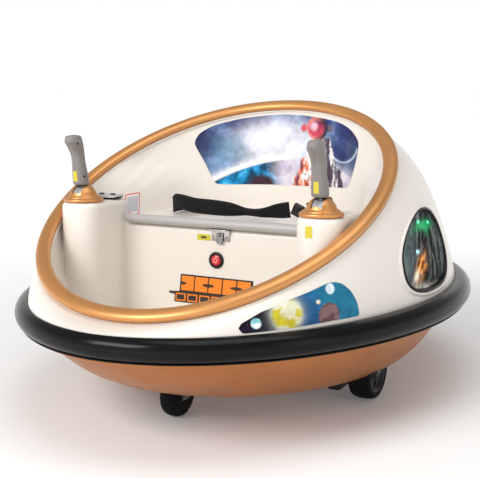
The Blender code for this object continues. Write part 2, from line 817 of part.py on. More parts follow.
def stick_switches(side, word):
    """Two microswitches in the pod, one before and one behind the lever."""
    x = side * POD_X
    low = STICK_Z - 0.038
    front = box(f"stick_switches_{word}", (x - 0.005, POD_Y - 0.0285, low - 0.010),
                (x + 0.005, POD_Y - 0.0180, low + 0.012), black_plastic())
    back = box(f"switch_back_{word}", (x - 0.005, POD_Y + 0.0180, low - 0.010),
               (x + 0.005, POD_Y + 0.0285, low + 0.012))
    bridge = box(f"switch_bridge_{word}", (x - 0.007, POD_Y - 0.0285, low - 0.014),
                 (x + 0.007, POD_Y + 0.0285, low - 0.009))
    join_all(front, [back, bridge])
    return front


# ---------------------------------------------------------------- controls

def power_bezel():
    profile = [(0.0110, 0.0026), (0.0138, 0.0022), (0.0144, 0.0006), (0.0144, 0.0),
               (0.0114, 0.0), (0.0114, -0.0120), (0.0098, -0.0120), (0.0098, 0.0020)]
    centre = (0.001, RISER_Y - GAP, 0.236)
    return turned("power_bezel", profile, centre, "FRONT", black_plastic(), 16, ring=True)


def power_button():
    profile = [(0.0, 0.0042), (0.0070, 0.0036), (0.0092, 0.0022), (0.0093, -0.0100), (0.0, -0.0100)]
    centre = (0.001, RISER_Y - GAP, 0.236)
    return set_pivot(turned("power_button", profile, centre, "FRONT", red_plastic(), 16), centre)


PANEL_SIDE = -1
PANEL_Y = POD_Y + 0.0575
PANEL_HALF_X = 0.0255
PANEL_HALF_Y = 0.0195
PANEL_TILT = math.radians(2)
PANEL_THICKNESS = 0.0040
BUTTON_SPREAD = 0.0125


def panel_frame():
    """Placement of the button panel on the pod behind the stick, tilted to the rider."""
    return (Matrix.Translation((PANEL_SIDE * (POD_X - 0.008), PANEL_Y, POD_TOP_Z + 0.0050))
            @ Matrix.Rotation(PANEL_TILT, 4, "X"))


def button_panel():
    """Grey wedge with a flat sloping face and two round button wells."""
    placed = panel_frame()
    form = bmesh.new()
    bmesh.ops.create_cube(form, size=1.0)
    bmesh.ops.scale(form, vec=(PANEL_HALF_X * 2, PANEL_HALF_Y * 2, PANEL_THICKNESS), verts=form.verts)
    bmesh.ops.bevel(form, geom=form.edges[:], offset=0.0012, segments=1, affect="EDGES")
    bmesh.ops.transform(form, matrix=placed, verts=form.verts)
    part = add_object("button_panel", mesh_from("button_panel", form), grey_plastic())
    foot = box("panel_foot", (PANEL_SIDE * (POD_X - 0.008) - 0.020, PANEL_Y - 0.015, POD_TOP_Z + GAP),
               (PANEL_SIDE * (POD_X - 0.008) + 0.020, PANEL_Y + 0.015, POD_TOP_Z + 0.0050))
    join_all(part, [foot])
    for i, shift in enumerate((-BUTTON_SPREAD, BUTTON_SPREAD)):
        well = rod(f"button_well_{i}", (0, 0, 0), 0.0056, 0.0084, "Z", None, 12)
        well.matrix_world = placed @ Matrix.Translation((shift, 0.0, 0.0030))
        boolean(part, well)
    return part


def panel_button(shift, name):
    profile = [(0.0, 0.0046), (0.0038, 0.0042), (0.0050, 0.0030), (0.0050, 0.0016), (0.0, 0.0016)]
    part = turned(name, profile, (0, 0, 0), "Z", black_plastic(), 12)
    part.matrix_world = panel_frame() @ Matrix.Translation((shift, 0.0, 0.0))
    return part


# ---------------------------------------------------------------- seat

def lid_limit():
    """Inside of the cockpit wall, drawn in so that the lid's rear corners clear it as they swing."""
    limit = tub_volume("lid_limit", -0.004, 0.0)
    limit.matrix_world = Matrix.Translation((0.0, -LID_CORNER_CLEARANCE, 0.0))
    return limit


def seat_lid():
    """Seat board over the battery hatch, hinged along its straight rear edge."""
    low_z = SEAT_TOP_Z - SEAT_THICKNESS
    soft = 0.003
    outline = [(SEAT_FRONT_Y, low_z), (SEAT_FRONT_Y, SEAT_TOP_Z - soft),
               (SEAT_FRONT_Y + soft, SEAT_TOP_Z), (SEAT_REAR_Y - soft, SEAT_TOP_Z),
               (SEAT_REAR_Y, SEAT_TOP_Z - soft), (SEAT_REAR_Y, low_z)]
    rings = [[Vector((x, y, z)) for y, z in outline] for x in (-SEAT_HALF_WIDTH, SEAT_HALF_WIDTH)]
    part = loft("seat_lid", rings, cream_plastic())
    recess = box("lid_recess", (-0.150, SEAT_FRONT_Y + 0.010, low_z - 0.01),
                 (0.150, 0.020, SEAT_TOP_Z - 0.0035))
    boolean(part, recess)
    boolean(part, lid_limit(), "INTERSECT")
    bake(part)
    return set_pivot(part, (0.0, SEAT_REAR_Y, low_z))


def seat_roll():
    """Grey rounded edging along the front of the seat board."""
    part = rod("seat_roll", (0.0, ROLL_Y, ROLL_Z), ROLL_RADIUS, 2 * ROLL_HALF_LENGTH, "X",
               grey_plastic(), 14)
    return set_pivot(part, (0.0, SEAT_REAR_Y, SEAT_TOP_Z - SEAT_THICKNESS))



def belt_route():
    """Middle line of the webbing as it lies in loose folds across the seat: x, y, height."""
    return [(-0.118, 0.000, 0.0020), (-0.124, -0.040, 0.0030), (-0.126, -0.082, 0.0080),
            (-0.118, -0.106, 0.0180), (-0.098, -0.118, 0.0230), (-0.064, -0.120, 0.0215),
            (-0.024, -0.118, 0.0180), (0.020, -0.112, 0.0150), (0.062, -0.106, 0.0150),
            (0.096, -0.101, 0.0180), (0.112, -0.100, 0.0200)]


def strap(name, points, half_width, material):
    """A flat strap of upright webbing along a route over the seat."""
    rings = []
    thick = BELT_HALF_THICKNESS
    for i, (x, y, height) in enumerate(points):
        ahead = Vector(points[min(i + 1, len(points) - 1)])
        behind = Vector(points[max(i - 1, 0)])
        along = (ahead - behind).normalized()
        lean = min(1.0, height / half_width)
        across = Vector((0.0, 0.0, 1.0)) * lean + Vector((-along.y, along.x, 0.0)) * (1 - lean)
        across = (across - along * across.dot(along)).normalized()
        normal = along.cross(across)
        middle = Vector((x, y, SEAT_TOP_Z + GAP + max(height, thick + abs(across.z) * half_width)))
        rings.append([middle + across * half_width * u + normal * thick * v
                      for u, v in ((-1, -1), (1, -1), (1, 1), (-1, 1))])
    part = loft(name, rings, material)
    form = bmesh.new()
    form.from_mesh(part.data)
    bmesh.ops.triangulate(form, faces=form.faces)
    part.data = mesh_from(name, form)
    part.data.materials.append(material)
    return part


def belt_left():
    return strap("belt_left", belt_route(), BELT_HALF_WIDTH, webbing())


def belt_right():
    route = [(0.1430, -0.099, 0.0190), (0.150, -0.076, 0.0200), (0.152, -0.040, 0.0230),
             (0.147, -0.004, 0.0200), (0.140, 0.024, 0.0060), (0.134, 0.044, 0.0020)]
    return strap("belt_right", route, BELT_HALF_WIDTH, webbing())


def belt_buckle():
    return box("belt_buckle", (0.1146, -0.1065, SEAT_TOP_Z + GAP + 0.003),
               (0.1408, -0.0935, SEAT_TOP_Z + 0.0350), black_plastic(), 0.003)


def latch_tongue():
    """Turn catch hanging from its pin in front of the keeper plate."""
    half = 0.0009
    plate = box("latch_tongue", (LATCH_X - LATCH_HALF_WIDTH, LATCH_Y - half, LATCH_PIVOT_Z - LATCH_LENGTH),
                (LATCH_X + LATCH_HALF_WIDTH, LATCH_Y + half, LATCH_PIVOT_Z + LATCH_HALF_WIDTH / 2),
                bright_steel())
    knob = rod("latch_knob", (LATCH_X, LATCH_Y - 0.0016, LATCH_PIVOT_Z), 0.0034, 0.0044, "Y", None, 10)
    join_all(plate, [knob])
    bake(plate)
    return set_pivot(plate, (LATCH_X, LATCH_Y, LATCH_PIVOT_Z))


def latch_plate():
    """Bright keeper on the riser, turned forward into a ledge under the seat's edging."""
    front = RISER_Y - GAP - 0.0020
    low_x = LATCH_X - LEDGE_HALF_WIDTH
    high_x = LATCH_X + LEDGE_HALF_WIDTH
    part = box("latch_plate", (low_x, front, LATCH_PIVOT_Z - 0.0110), (high_x, RISER_Y - GAP, LATCH_TOP_Z),
               bright_steel())
    ledge = box("latch_ledge", (low_x, LATCH_Y - 0.0090, LATCH_TOP_Z - LEDGE_THICKNESS),
                (high_x, front + 0.0009, LATCH_TOP_Z))
    join_all(part, [ledge])
    return part


# ---------------------------------------------------------------- inside

def battery():
    return box("battery", (-0.0755, 0.024, 0.0480), (0.0755, 0.122, 0.1430), black_plastic(), 0.002)


def battery_clamp():
    bridge = box("battery_clamp", (-0.0900, 0.060, 0.0480), (0.0900, 0.085, 0.1455), bright_steel())
    hollow = box("clamp_hollow", (-0.0880, 0.050, 0.0300), (0.0880, 0.095, 0.1435))
    boolean(bridge, hollow)
    feet = box("clamp_feet", (-0.1050, 0.060, 0.0480), (0.1050, 0.085, 0.0500))
    gap = box("clamp_gap", (-0.0880, 0.050, 0.0300), (0.0880, 0.095, 0.0600))
    join_all(bridge, [bake(boolean(feet, gap))])
    return bridge


def control_box():
    return box("control_box", (-0.060, -0.135, 0.1020), (0.060, -0.040, 0.1340), black_plastic(), 0.002)


def speaker():
    profile = [(0.0, 0.004), (0.020, 0.010), (0.030, 0.014), (0.034, 0.014), (0.034, 0.010),
               (0.021, -0.006), (0.019, -0.016), (0.0, -0.016)]
    return turned("speaker", profile, (0.0, 0.178, 0.0680), "Z", black_plastic(), 16)


def charge_frame():
    """Placement of the charging socket: square to the dome at the back, just above its base."""
    angle = math.pi / 2
    turn = dome_normal(angle, CHARGE_T).to_track_quat("Z", "Y").to_matrix().to_4x4()
    return Matrix.Translation(dome_point(angle, CHARGE_T)) @ turn


def charge_socket():
    profile = [(0.0, -0.006), (0.0055, -0.006), (0.0055, 0.0030), (0.0135, 0.0030),
               (0.0140, 0.0006), (0.0095, 0.0006), (0.0095, -0.018), (0.0, -0.018)]
    part = turned("charge_socket", profile, (0, 0, 0), "Z", black_plastic(), 16)
    part.matrix_world = charge_frame()
    return part


def gear_outline(teeth, thickness):
    """Straight-flanked teeth with generous backlash, as points round the gear."""
    pitch = GEAR_MODULE * teeth / 2
    points = []
    for i in range(teeth):
        middle = 2 * math.pi * i / teeth
        root = pitch - 1.20 * GEAR_MODULE
        tip = pitch + 0.80 * GEAR_MODULE
        half_root = thickness * 1.35 / root
        half_tip = thickness * 0.55 / tip
        points += [(root, middle - half_root), (tip, middle - half_tip),
                   (tip, middle + half_tip), (root, middle + half_root)]
    return points


def gear(name, teeth, centre, half_width, phase, bore, material):
    """A spur gear about an X axis with a bore."""
    rings = []
    for x in (-half_width, half_width):
        rings.append([Vector((centre[0] + x, centre[1] + radius * math.sin(turn + phase),
                              centre[2] + radius * math.cos(turn + phase)))
                      for radius, turn in gear_outline(teeth, GEAR_MODULE * 0.66)])
    part = loft(name, rings, material)
    boolean(part, rod(f"{name}_bore", centre, bore, half_width * 4, "X", None, 12))
    return part


PINION_OFFSET = GEAR_MODULE * (PINION_TEETH + GEAR_TEETH) / 2 + 0.0003
PINION_RISE = 0.0235


def pinion_place(side):
    """Centre of a motor shaft: behind the wheel's axle and above it."""
    along = math.sqrt(PINION_OFFSET ** 2 - PINION_RISE ** 2)
    return (side * GEAR_X, DRIVE_Y + along, DRIVE_RADIUS + PINION_RISE)


def mesh_phase():
    """Angle from straight up to the line between the two gear centres."""
    return math.atan2(math.sqrt(PINION_OFFSET ** 2 - PINION_RISE ** 2), PINION_RISE)


def output_gear(side, word):
    centre = (side * GEAR_X, DRIVE_Y, DRIVE_RADIUS)
    part = gear(f"output_gear_{word}", GEAR_TEETH, centre, 0.0050, mesh_phase(), 0.0052, white_nylon())
    bake(part)
    return set_pivot(part, (side * DRIVE_X, DRIVE_Y, DRIVE_RADIUS))


def motor_pinion(side, word):
    phase = mesh_phase() + math.pi + math.pi / PINION_TEETH
    part = gear(f"motor_pinion_{word}", PINION_TEETH, pinion_place(side), 0.0055, phase, 0.0020,
                bright_steel())
    bake(part)
    return set_pivot(part, pinion_place(side))


def gearbox_case(side, word):
    """Black housing round both gears, bolted into the drive bay."""
    x0, x1 = GEAR_X - 0.0100, GEAR_X + 0.0100
    low = (x0, DRIVE_Y - 0.0345, DRIVE_RADIUS - 0.0345)
    high = (x1, DRIVE_Y + 0.0545, 0.0900)
    name = f"gearbox_case_{word}"
    if side < 0:
        low, high = (-high[0], low[1], low[2]), (-low[0], high[1], high[2])
    part = box(name, low, high, black_plastic())
    wall = 0.0025
    inner_low = tuple(value + wall for value in low)
    inner_high = tuple(value - wall for value in high)
    boolean(part, box(f"{name}_space", inner_low, inner_high))
    boolean(part, rod(f"{name}_axle_hole", (side * GEAR_X, DRIVE_Y, DRIVE_RADIUS), 0.0056, 0.04,
                      "X", None, 12))
    shaft = pinion_place(side)
    boolean(part, rod(f"{name}_shaft_hole", (shaft[0] - side * 0.015, shaft[1], shaft[2]), 0.0060,
                      0.02, "X", None, 12))
    return part


def motor(side, word):
    """Can motor on the inner face of the gearbox."""
    x, y, z = pinion_place(side)
    inner = x - side * (0.0100 + GAP)
    length = 0.057
    can = rod(f"motor_{word}", (inner - side * length / 2, y, z), 0.0160, length, "X",
              bright_steel(), 16)
    boss = rod(f"motor_boss_{word}", (inner + side * 0.0010, y, z), 0.0052, 0.0060, "X", None, 12)
    join_all(can, [boss])
    return can


def wheel_axle(side, word):
    """Steel axle through gearbox, gear and hub."""
    inner, outer = GEAR_X - 0.018, DRIVE_X + DRIVE_HALF_WIDTH + 0.0005
    part = rod(f"wheel_axle_{word}", (side * (inner + outer) / 2, DRIVE_Y, DRIVE_RADIUS), 0.0048,
               outer - inner, "X", bright_steel(), 12)
    return set_pivot(part, (side * DRIVE_X, DRIVE_Y, DRIVE_RADIUS))


def wheel_hub(side, word):
    half = DRIVE_HALF_WIDTH - 0.001
    profile = [(0.0052, half), (0.0120, half), (0.0150, half - 0.006), (0.0330, half - 0.006),
               (0.0360, half), (0.0385, half), (0.0385, -half), (0.0360, -half),
               (0.0330, -half + 0.006), (0.0150, -half + 0.006), (0.0120, -half), (0.0052, -half)]
    return turned(f"wheel_hub_{word}", profile, (side * DRIVE_X, DRIVE_Y, DRIVE_RADIUS), "X",
                  black_plastic(), 12, ring=True)


def tyre(name, centre, radius, bore, half_width, steps):
    crown = radius - 0.0025
    profile = [(bore, half_width), (crown - 0.003, half_width), (crown, half_width * 0.80),
               (radius, half_width * 0.35), (radius, -half_width * 0.35),
               (crown, -half_width * 0.80), (crown - 0.003, -half_width), (bore, -half_width)]
    return turned(name, profile, centre, "X", black_rubber(), steps, ring=True)


def wheel_tyre(side, word):
    return tyre(f"wheel_tyre_{word}", (side * DRIVE_X, DRIVE_Y, DRIVE_RADIUS), DRIVE_RADIUS,
                0.0393, DRIVE_HALF_WIDTH, 20)


def caster_centre(end):
    return (0.0, end * CASTER_PIVOT_Y + CASTER_TRAIL, CASTER_RADIUS)


def caster_wheel(end, word):
    return tyre(f"caster_wheel_{word}", caster_centre(end), CASTER_RADIUS, 0.0046,
                CASTER_HALF_WIDTH, 16)


def caster_fork(end, word):
    """Steel fork with its stem and the wheel's pin."""
    x_in = CASTER_HALF_WIDTH + 0.0012
    x_out = x_in + 0.0025
    pivot_y = end * CASTER_PIVOT_Y
    centre = caster_centre(end)
    crown = CASTER_RADIUS * 2 + 0.0035
    plate = box(f"caster_fork_{word}", (-x_out, pivot_y - 0.016, crown),
                (x_out, pivot_y + CASTER_TRAIL + 0.010, crown + 0.0030), bright_steel())
    pieces = []
    for sign in (1, -1):
        low_x, high_x = sorted((sign * x_in, sign * x_out))
        pieces.append(box(f"fork_leg_{word}_{sign}", (low_x, centre[1] - 0.010, CASTER_RADIUS - 0.008),
                          (high_x, centre[1] + 0.010, crown + 0.002)))
    pieces.append(rod(f"fork_pin_{word}", centre, 0.0042, x_out * 2 + 0.004, "X", None, 10))
    pieces.append(rod(f"fork_stem_{word}", (0.0, pivot_y, crown + 0.017), 0.0050, 0.032, "Z", None, 12))
    join_all(plate, pieces)
    bake(plate)
    return set_pivot(plate, (0.0, pivot_y, crown))


def caster_bush(end, word):
    """Flanged bush in the roof of a caster well that the fork's stem turns in."""
    top = CASTER_CUP_TOP + SKIN
    profile = [(0.0054, top + 0.0060), (0.0120, top + 0.0060), (0.0120, top + GAP),
               (0.0084, top + GAP), (0.0084, CASTER_CUP_TOP - GAP), (0.0150, CASTER_CUP_TOP - GAP),
               (0.0150, 0.0835), (0.0054, 0.0835)]
    return turned(f"caster_bush_{word}", profile, (0.0, end * CASTER_PIVOT_Y, 0.0), "Z",
                  white_nylon(), 12, ring=True)


def wiring_loom():
    """Lead from the control box back over the battery's side to the rear."""
    curve = bpy.data.curves.new("wiring_loom", "CURVE")
    curve.dimensions = "3D"
    curve.bevel_depth = 0.0028
    curve.bevel_resolution = 2
    curve.use_fill_caps = True
    route = [(0.045, -0.0380, 0.118), (0.048, -0.020, 0.118), (0.052, -0.004, 0.130),
             (0.050, 0.007, 0.146), (0.046, 0.022, 0.1540), (0.040, 0.045, 0.1560),
             (0.034, 0.080, 0.1560), (0.028, 0.112, 0.1550), (0.022, 0.134, 0.144),
             (0.014, 0.148, 0.116), (0.008, 0.158, 0.096), (0.007, 0.160, 0.086)]
    spline = curve.splines.new("POLY")
    spline.points.add(len(route) - 1)
    for point, place in zip(spline.points, route):
        point.co = (*place, 1.0)
    part = bpy.data.objects.new("wiring_loom", curve)
    collection_named(OBJECT_NAME).objects.link(part)
    curve.materials.append(black_rubber())
    return part


# ---------------------------------------------------------------- assembly

def clear_scene():
    for old in list(bpy.data.objects):
        bpy.data.objects.remove(old, do_unlink=True)


def build_body():
    upper_shell()
    lower_shell()
    cockpit_tub()
    bumper_ring()
    rim_trim()


def build_side(side, word):
    lamp_gasket(side, word)
    lamp_lens(side, word)
    lamp_reflector(side, word)
    stick_base(side, word)
    stick_core(side, word)
    stick_grip(side, word, side, "outer")
    stick_grip(side, word, -side, "inner")
    stick_switches(side, word)
    gearbox_case(side, word)
    motor(side, word)
    output_gear(side, word)
    motor_pinion(side, word)
    wheel_axle(side, word)
    wheel_hub(side, word)
    wheel_tyre(side, word)


def build_caster(end, word):
    caster_bush(end, word)
    caster_fork(end, word)
    caster_wheel(end, word)


def build_controls_and_seat():
    power_bezel()
    power_button()
    button_panel()
    panel_button(-BUTTON_SPREAD, "music_button")
    panel_button(BUTTON_SPREAD, "horn_button")
    seat_lid()
    seat_roll()
    belt_left()
    belt_right()
    belt_buckle()
    latch_tongue()
    latch_plate()
    battery()
    battery_clamp()
    control_box()
    speaker()
    charge_socket()
    wiring_loom()


def main():
    clear_scene()
    build_body()
    for side, word in ((1, "left"), (-1, "right")):
        build_side(side, word)
    for end, word in ((-1, "front"), (1, "rear")):
        build_caster(end, word)
    build_controls_and_seat()


main()
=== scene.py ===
"""Visual model of the toddler bumper car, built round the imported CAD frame."""
import random
from math import acos, asin, ceil, copysign, cos, exp, hypot, pi, radians, sin, tan

import bmesh
import bpy
from mathutils import Matrix, Vector, noise
from mathutils.bvhtree import BVHTree
from mathutils.geometry import delaunay_2d_cdt


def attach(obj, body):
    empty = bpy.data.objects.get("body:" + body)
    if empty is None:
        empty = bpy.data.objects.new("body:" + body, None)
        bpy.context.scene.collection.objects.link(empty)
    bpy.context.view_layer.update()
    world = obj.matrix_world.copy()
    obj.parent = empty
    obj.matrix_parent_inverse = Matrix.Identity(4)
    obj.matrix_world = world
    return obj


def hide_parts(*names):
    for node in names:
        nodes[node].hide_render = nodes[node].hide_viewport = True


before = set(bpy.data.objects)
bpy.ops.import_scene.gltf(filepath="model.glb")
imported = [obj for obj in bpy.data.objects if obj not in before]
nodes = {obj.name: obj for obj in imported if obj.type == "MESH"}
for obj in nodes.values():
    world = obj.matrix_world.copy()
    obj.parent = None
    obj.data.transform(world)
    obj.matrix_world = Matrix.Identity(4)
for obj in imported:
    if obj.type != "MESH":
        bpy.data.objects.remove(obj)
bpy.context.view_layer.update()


def mm(*rows):
    """Rows of millimetres as tuples of metres."""
    return [tuple(value / 1000 for value in row) for row in rows]


ROOT = "chassis"
GAP = 0.0004
SKIN = 0.003
AROUND = 216                      # steps round the big oval loops

OVAL_POWER = 1.93
BUMPER_HALF_WIDTH = 0.380
BUMPER_HALF_LENGTH = 0.513
BUMPER_Z = 0.169
BUMPER_RADIUS = 0.0185
BUMPER_LIP_Z = 0.1495
BASE_HALF_WIDTH = 0.349
BASE_HALF_LENGTH = 0.499
BASE_Z = 0.1880
BASE_LOW_Z = 0.1840
SEAM_HALF_WIDTH = 0.337
SEAM_HALF_LENGTH = 0.474
SCREW_RING_X = (SEAM_HALF_WIDTH + 0.0024 + BASE_HALF_WIDTH) / 2
SCREW_RING_Y = (SEAM_HALF_LENGTH + BASE_HALF_LENGTH) / 2
RIM_HALF_WIDTH = 0.2870
RIM_HALF_LENGTH = 0.3278
RIM_POWER = 2.03
RIM_WIDENING = 0.014
RIM_Y = -0.152
RIM_Z = 0.3504
RIM_TILT = radians(26.88)
RIM_SECTION_HALF_WIDTH = 0.0125
RIM_SECTION_HALF_HEIGHT = 0.0087
RIM_FLAT = -0.0060
RIM_CREST_DRAFT = 0.0005
TUB_EDGE = RIM_FLAT - 0.0006
EDGE_INSET = 0.0075
EDGE_DROP = 0.0085
BOWL_HALF_WIDTH = 0.339
BOWL_HALF_LENGTH = 0.477
BOWL_Z = 0.1455
BOWL_FLAT_HALF_WIDTH = 0.233
BOWL_FLAT_HALF_LENGTH = 0.2565
BOWL_FLAT_Z = 0.044
FLOOR_Z = 0.125
SEAT_TOP_Z = 0.3035
SEAT_THICKNESS = 0.0125
DECK_Z = SEAT_TOP_Z - SEAT_THICKNESS - GAP
RISER_Y = -0.154
SEAT_FRONT_Y = -0.150
ROLL_RADIUS = 0.0082
ROLL_HALF_LENGTH = 0.183
ROLL_Z = 0.2992
ROLL_Y = SEAT_FRONT_Y - ROLL_RADIUS - GAP
POD_X = 0.2242
POD_Y = -0.2253
POD_RADIUS = 0.0370
POD_TOP_Z = 0.333
POD_REAR_Y = -0.1425
STICK_HOLE_RADIUS = 0.0232
HATCH_HALF_WIDTH = 0.125
HATCH_FRONT_Y = -0.120
HATCH_REAR_Y = 0.045
BUTTON_X = 0.001
BUTTON_Z = 0.236
BUTTON_HOLE_RADIUS = 0.0125
LATCH_X = 0.0101
LATCH_Z = 0.2808
PANEL_X = -(POD_X - 0.008)
PANEL_Y = POD_Y + 0.0575
KEY_SHIFT = 0.0125
STICK_Z = 0.3385
DRUM_HALF_WIDTH = 0.0085
GRIP_LEAN = radians(7.8)
GRIP_FORWARD = 0.0050
GRIP_BOTTOM = 0.0235
GRIP_HEIGHT = 0.086
BELT_HALF_WIDTH = 0.0138
LAMP_T = 0.320
LAMP_T_SPAN = 0.265
LAMP_ANGLE = radians(-1.0)
LAMP_ANGLE_SPAN = radians(12.4)
LAMP_LEAN = radians(2.2)
LAMP_DRAW = 26.0                  # how far the painted colours slide with depth behind the lens
CHARGE_T = 0.10
DRIVE_X = 0.2386
DRIVE_Y = -0.048
DRIVE_RADIUS = 0.050
DRIVE_HALF_WIDTH = 0.020
CASTER_PIVOT_Y = 0.300
CASTER_TRAIL = 0.020
CASTER_RADIUS = 0.0375
CASTER_HALF_WIDTH = 0.013
CASTER_CUP_RADIUS = 0.064
CASTER_CUP_TOP = 0.0960


# ---------------------------------------------------------------- camera, light, floor

# Each lamp's name, place, aim, width and length, and power.
LAMPS = [("key", (-0.7, -2.5, 1.75), (0.0, -0.15, 0.22), (1.6, 1.0), 59.0),
         ("overhead", (0.5, -0.4, 2.2), (0.0, -0.1, 0.2), (1.7, 1.4), 20.0),
         ("side", (2.2, -0.6, 0.9), (0.0, 0.0, 0.25), (0.8, 1.3), 3.0)]


def link(thing):
    bpy.context.scene.collection.objects.link(thing)
    return thing


def aim_at(thing, place, target):
    """Put a lamp or the camera at a place, looking at another."""
    thing.location = place
    thing.rotation_mode = "QUATERNION"
    thing.rotation_quaternion = (Vector(target) - Vector(place)).to_track_quat("-Z", "Y")


def make_camera():
    data = bpy.data.cameras.new("camera")
    data.sensor_width = 36.0
    data.lens = 66.47
    camera = link(bpy.data.objects.new("camera", data))
    aim_at(camera, (0.7457, -1.4467, 0.4956), (-0.0284, -0.0154, 0.2523))
    bpy.context.scene.camera = camera


def area_light(name, place, target, size, power):
    data = bpy.data.lights.new(name, "AREA")
    data.shape = "RECTANGLE"
    data.size, data.size_y = size
    data.energy = power
    aim_at(link(bpy.data.objects.new(name, data)), place, target)


def make_studio():
    """A sky that is white near the horizon and grey overhead, three soft lamps, and a pale lit floor."""
    world = bpy.data.worlds.new("studio")
    world.use_nodes = True
    place = add_node(world, "ShaderNodeTexCoord").outputs["Generated"]
    height = add_node(world, "ShaderNodeSeparateXYZ", {"Vector": place}).outputs["Z"]
    sky = ramp_of(world, height, [(0.14, grey(1.0)), (0.42, (0.30, 0.30, 0.31))])
    world.node_tree.links.new(sky, world.node_tree.nodes["Background"].inputs["Color"])
    bpy.context.scene.world = world
    bpy.context.scene.view_settings.view_transform = "Standard"
    for name, place, target, size, power in LAMPS:
        area_light(name, place, target, size, power)
    form = bmesh.new()
    bmesh.ops.create_grid(form, x_segments=1, y_segments=1, size=30.0)
    floor = link(bpy.data.objects.new("floor", mesh_of("floor", form, recalc=False)))
    paint = plain_material("floor_paint", (0.90, 0.90, 0.89), 0.6, Emission_Strength=1.0)
    ball = add_node(paint, "ShaderNodeTexGradient", {"Vector": coords(paint, (0.42, 0.42, 0.42))},
                    gradient_type="SPHERICAL").outputs["Fac"]
    feed(paint, ramp_of(paint, ball, [(0.0, grey(0.74)), (0.75, grey(0.08))]), "Emission Color")
    floor.data.materials.append(paint)


# ---------------------------------------------------------------- materials

def grey(value):
    return (value, value, value)


def shader_of(material):
    return material.node_tree.nodes["Principled BSDF"]


def plain_material(name, colour, roughness, **sockets):
    """One Principled shader; a socket's name is given with _ for its spaces."""
    material = bpy.data.materials.new(name)
    material.use_nodes = True
    shader = shader_of(material)
    shader.inputs["Base Color"].default_value = (*colour, 1.0)
    shader.inputs["Roughness"].default_value = roughness
    for key, value in sockets.items():
        shader.inputs[key.replace("_", " ")].default_value = value
    material.diffuse_color = (*colour, 1.0)
    return material


def add_node(material, kind, inputs=None, **settings):
    node = material.node_tree.nodes.new(kind)
    for key, value in settings.items():
        setattr(node, key, value)
    for key, value in (inputs or {}).items():
        if isinstance(value, bpy.types.NodeSocket):
            material.node_tree.links.new(value, node.inputs[key])
        else:
            node.inputs[key].default_value = value
    return node


def feed(material, output, socket):
    material.node_tree.links.new(output, shader_of(material).inputs[socket])


def coords(material, stretch=(1.0, 1.0, 1.0), which="Object"):
    place = add_node(material, "ShaderNodeTexCoord")
    return add_node(material, "ShaderNodeMapping", {"Vector": place.outputs[which],
                                                    "Scale": stretch}).outputs[0]


def noise_of(material, where, scale, detail=3.0, roughness=0.5, distortion=0.0):
    return add_node(material, "ShaderNodeTexNoise", {"Vector": where, "Scale": scale, "Detail": detail,
                    "Roughness": roughness, "Distortion": distortion}).outputs["Fac"]


def ramp_of(material, factor, stops):
    node = add_node(material, "ShaderNodeValToRGB", {"Fac": factor})
    for element, (place, colour) in zip(node.color_ramp.elements, stops):
        element.position = place
        element.color = (*colour, 1.0)
    return node.outputs["Color"]


def steps_of(material, factor, low, high):
    """A grey ramp: each stop is a place and a value."""
    return ramp_of(material, factor, [(place, grey(value)) for place, value in (low, high)])


def mix_of(material, factor, first, second, blend="MIX"):
    node = add_node(material, "ShaderNodeMix", data_type="RGBA", blend_type=blend)
    for socket, value in ((0, factor), (6, first), (7, second)):
        if isinstance(value, bpy.types.NodeSocket):
            material.node_tree.links.new(value, node.inputs[socket])
        else:
            node.inputs[socket].default_value = value if socket == 0 or len(value) == 4 else (*value, 1.0)
    return node.outputs[2]


def math_of(material, operation, first, second=0.0, clamp=False):
    return add_node(material, "ShaderNodeMath", {0: first, 1: second}, operation=operation,
                    use_clamp=clamp).outputs[0]


def bump_of(material, height, strength, distance):
    node = add_node(material, "ShaderNodeBump", {"Height": height, "Strength": strength,
                                                 "Distance": distance})
    feed(material, node.outputs[0], "Normal")


def moulded(name, colour, roughness, grain, grain_depth, drift, strength=0.15, **sockets):
    """Moulded plastic: slow colour drift, a fine grain and cloudy gloss."""
    material = plain_material(name, colour, roughness, **sockets)
    where = coords(material)
    cloudy = noise_of(material, where, 7.0, 4.0, 0.6)
    darker = tuple(channel * (1.0 - drift) for channel in colour)
    lighter = tuple(min(1.0, channel * (1.0 + drift * 0.5)) for channel in colour)
    feed(material, ramp_of(material, cloudy, [(0.32, darker), (0.68, lighter)]), "Base Color")
    streak = noise_of(material, where, 38.0, 5.0, 0.65)
    gloss = steps_of(material, streak, (0.30, roughness * 0.94), (0.72, min(1.0, roughness * 1.08)))
    feed(material, gloss, "Roughness")
    bump_of(material, noise_of(material, where, grain, 2.0, 0.5), strength, grain_depth)
    return material


def copper_paint(name, colour, grain, depth, strength):
    """Plastic with a copper-gold metallic coat: cloudy tone, satin gloss and slight dents."""
    return moulded(name, colour, 0.40, grain, depth, 0.10, strength, Metallic=0.60, Coat_Weight=0.15,
                   Coat_Roughness=0.25)


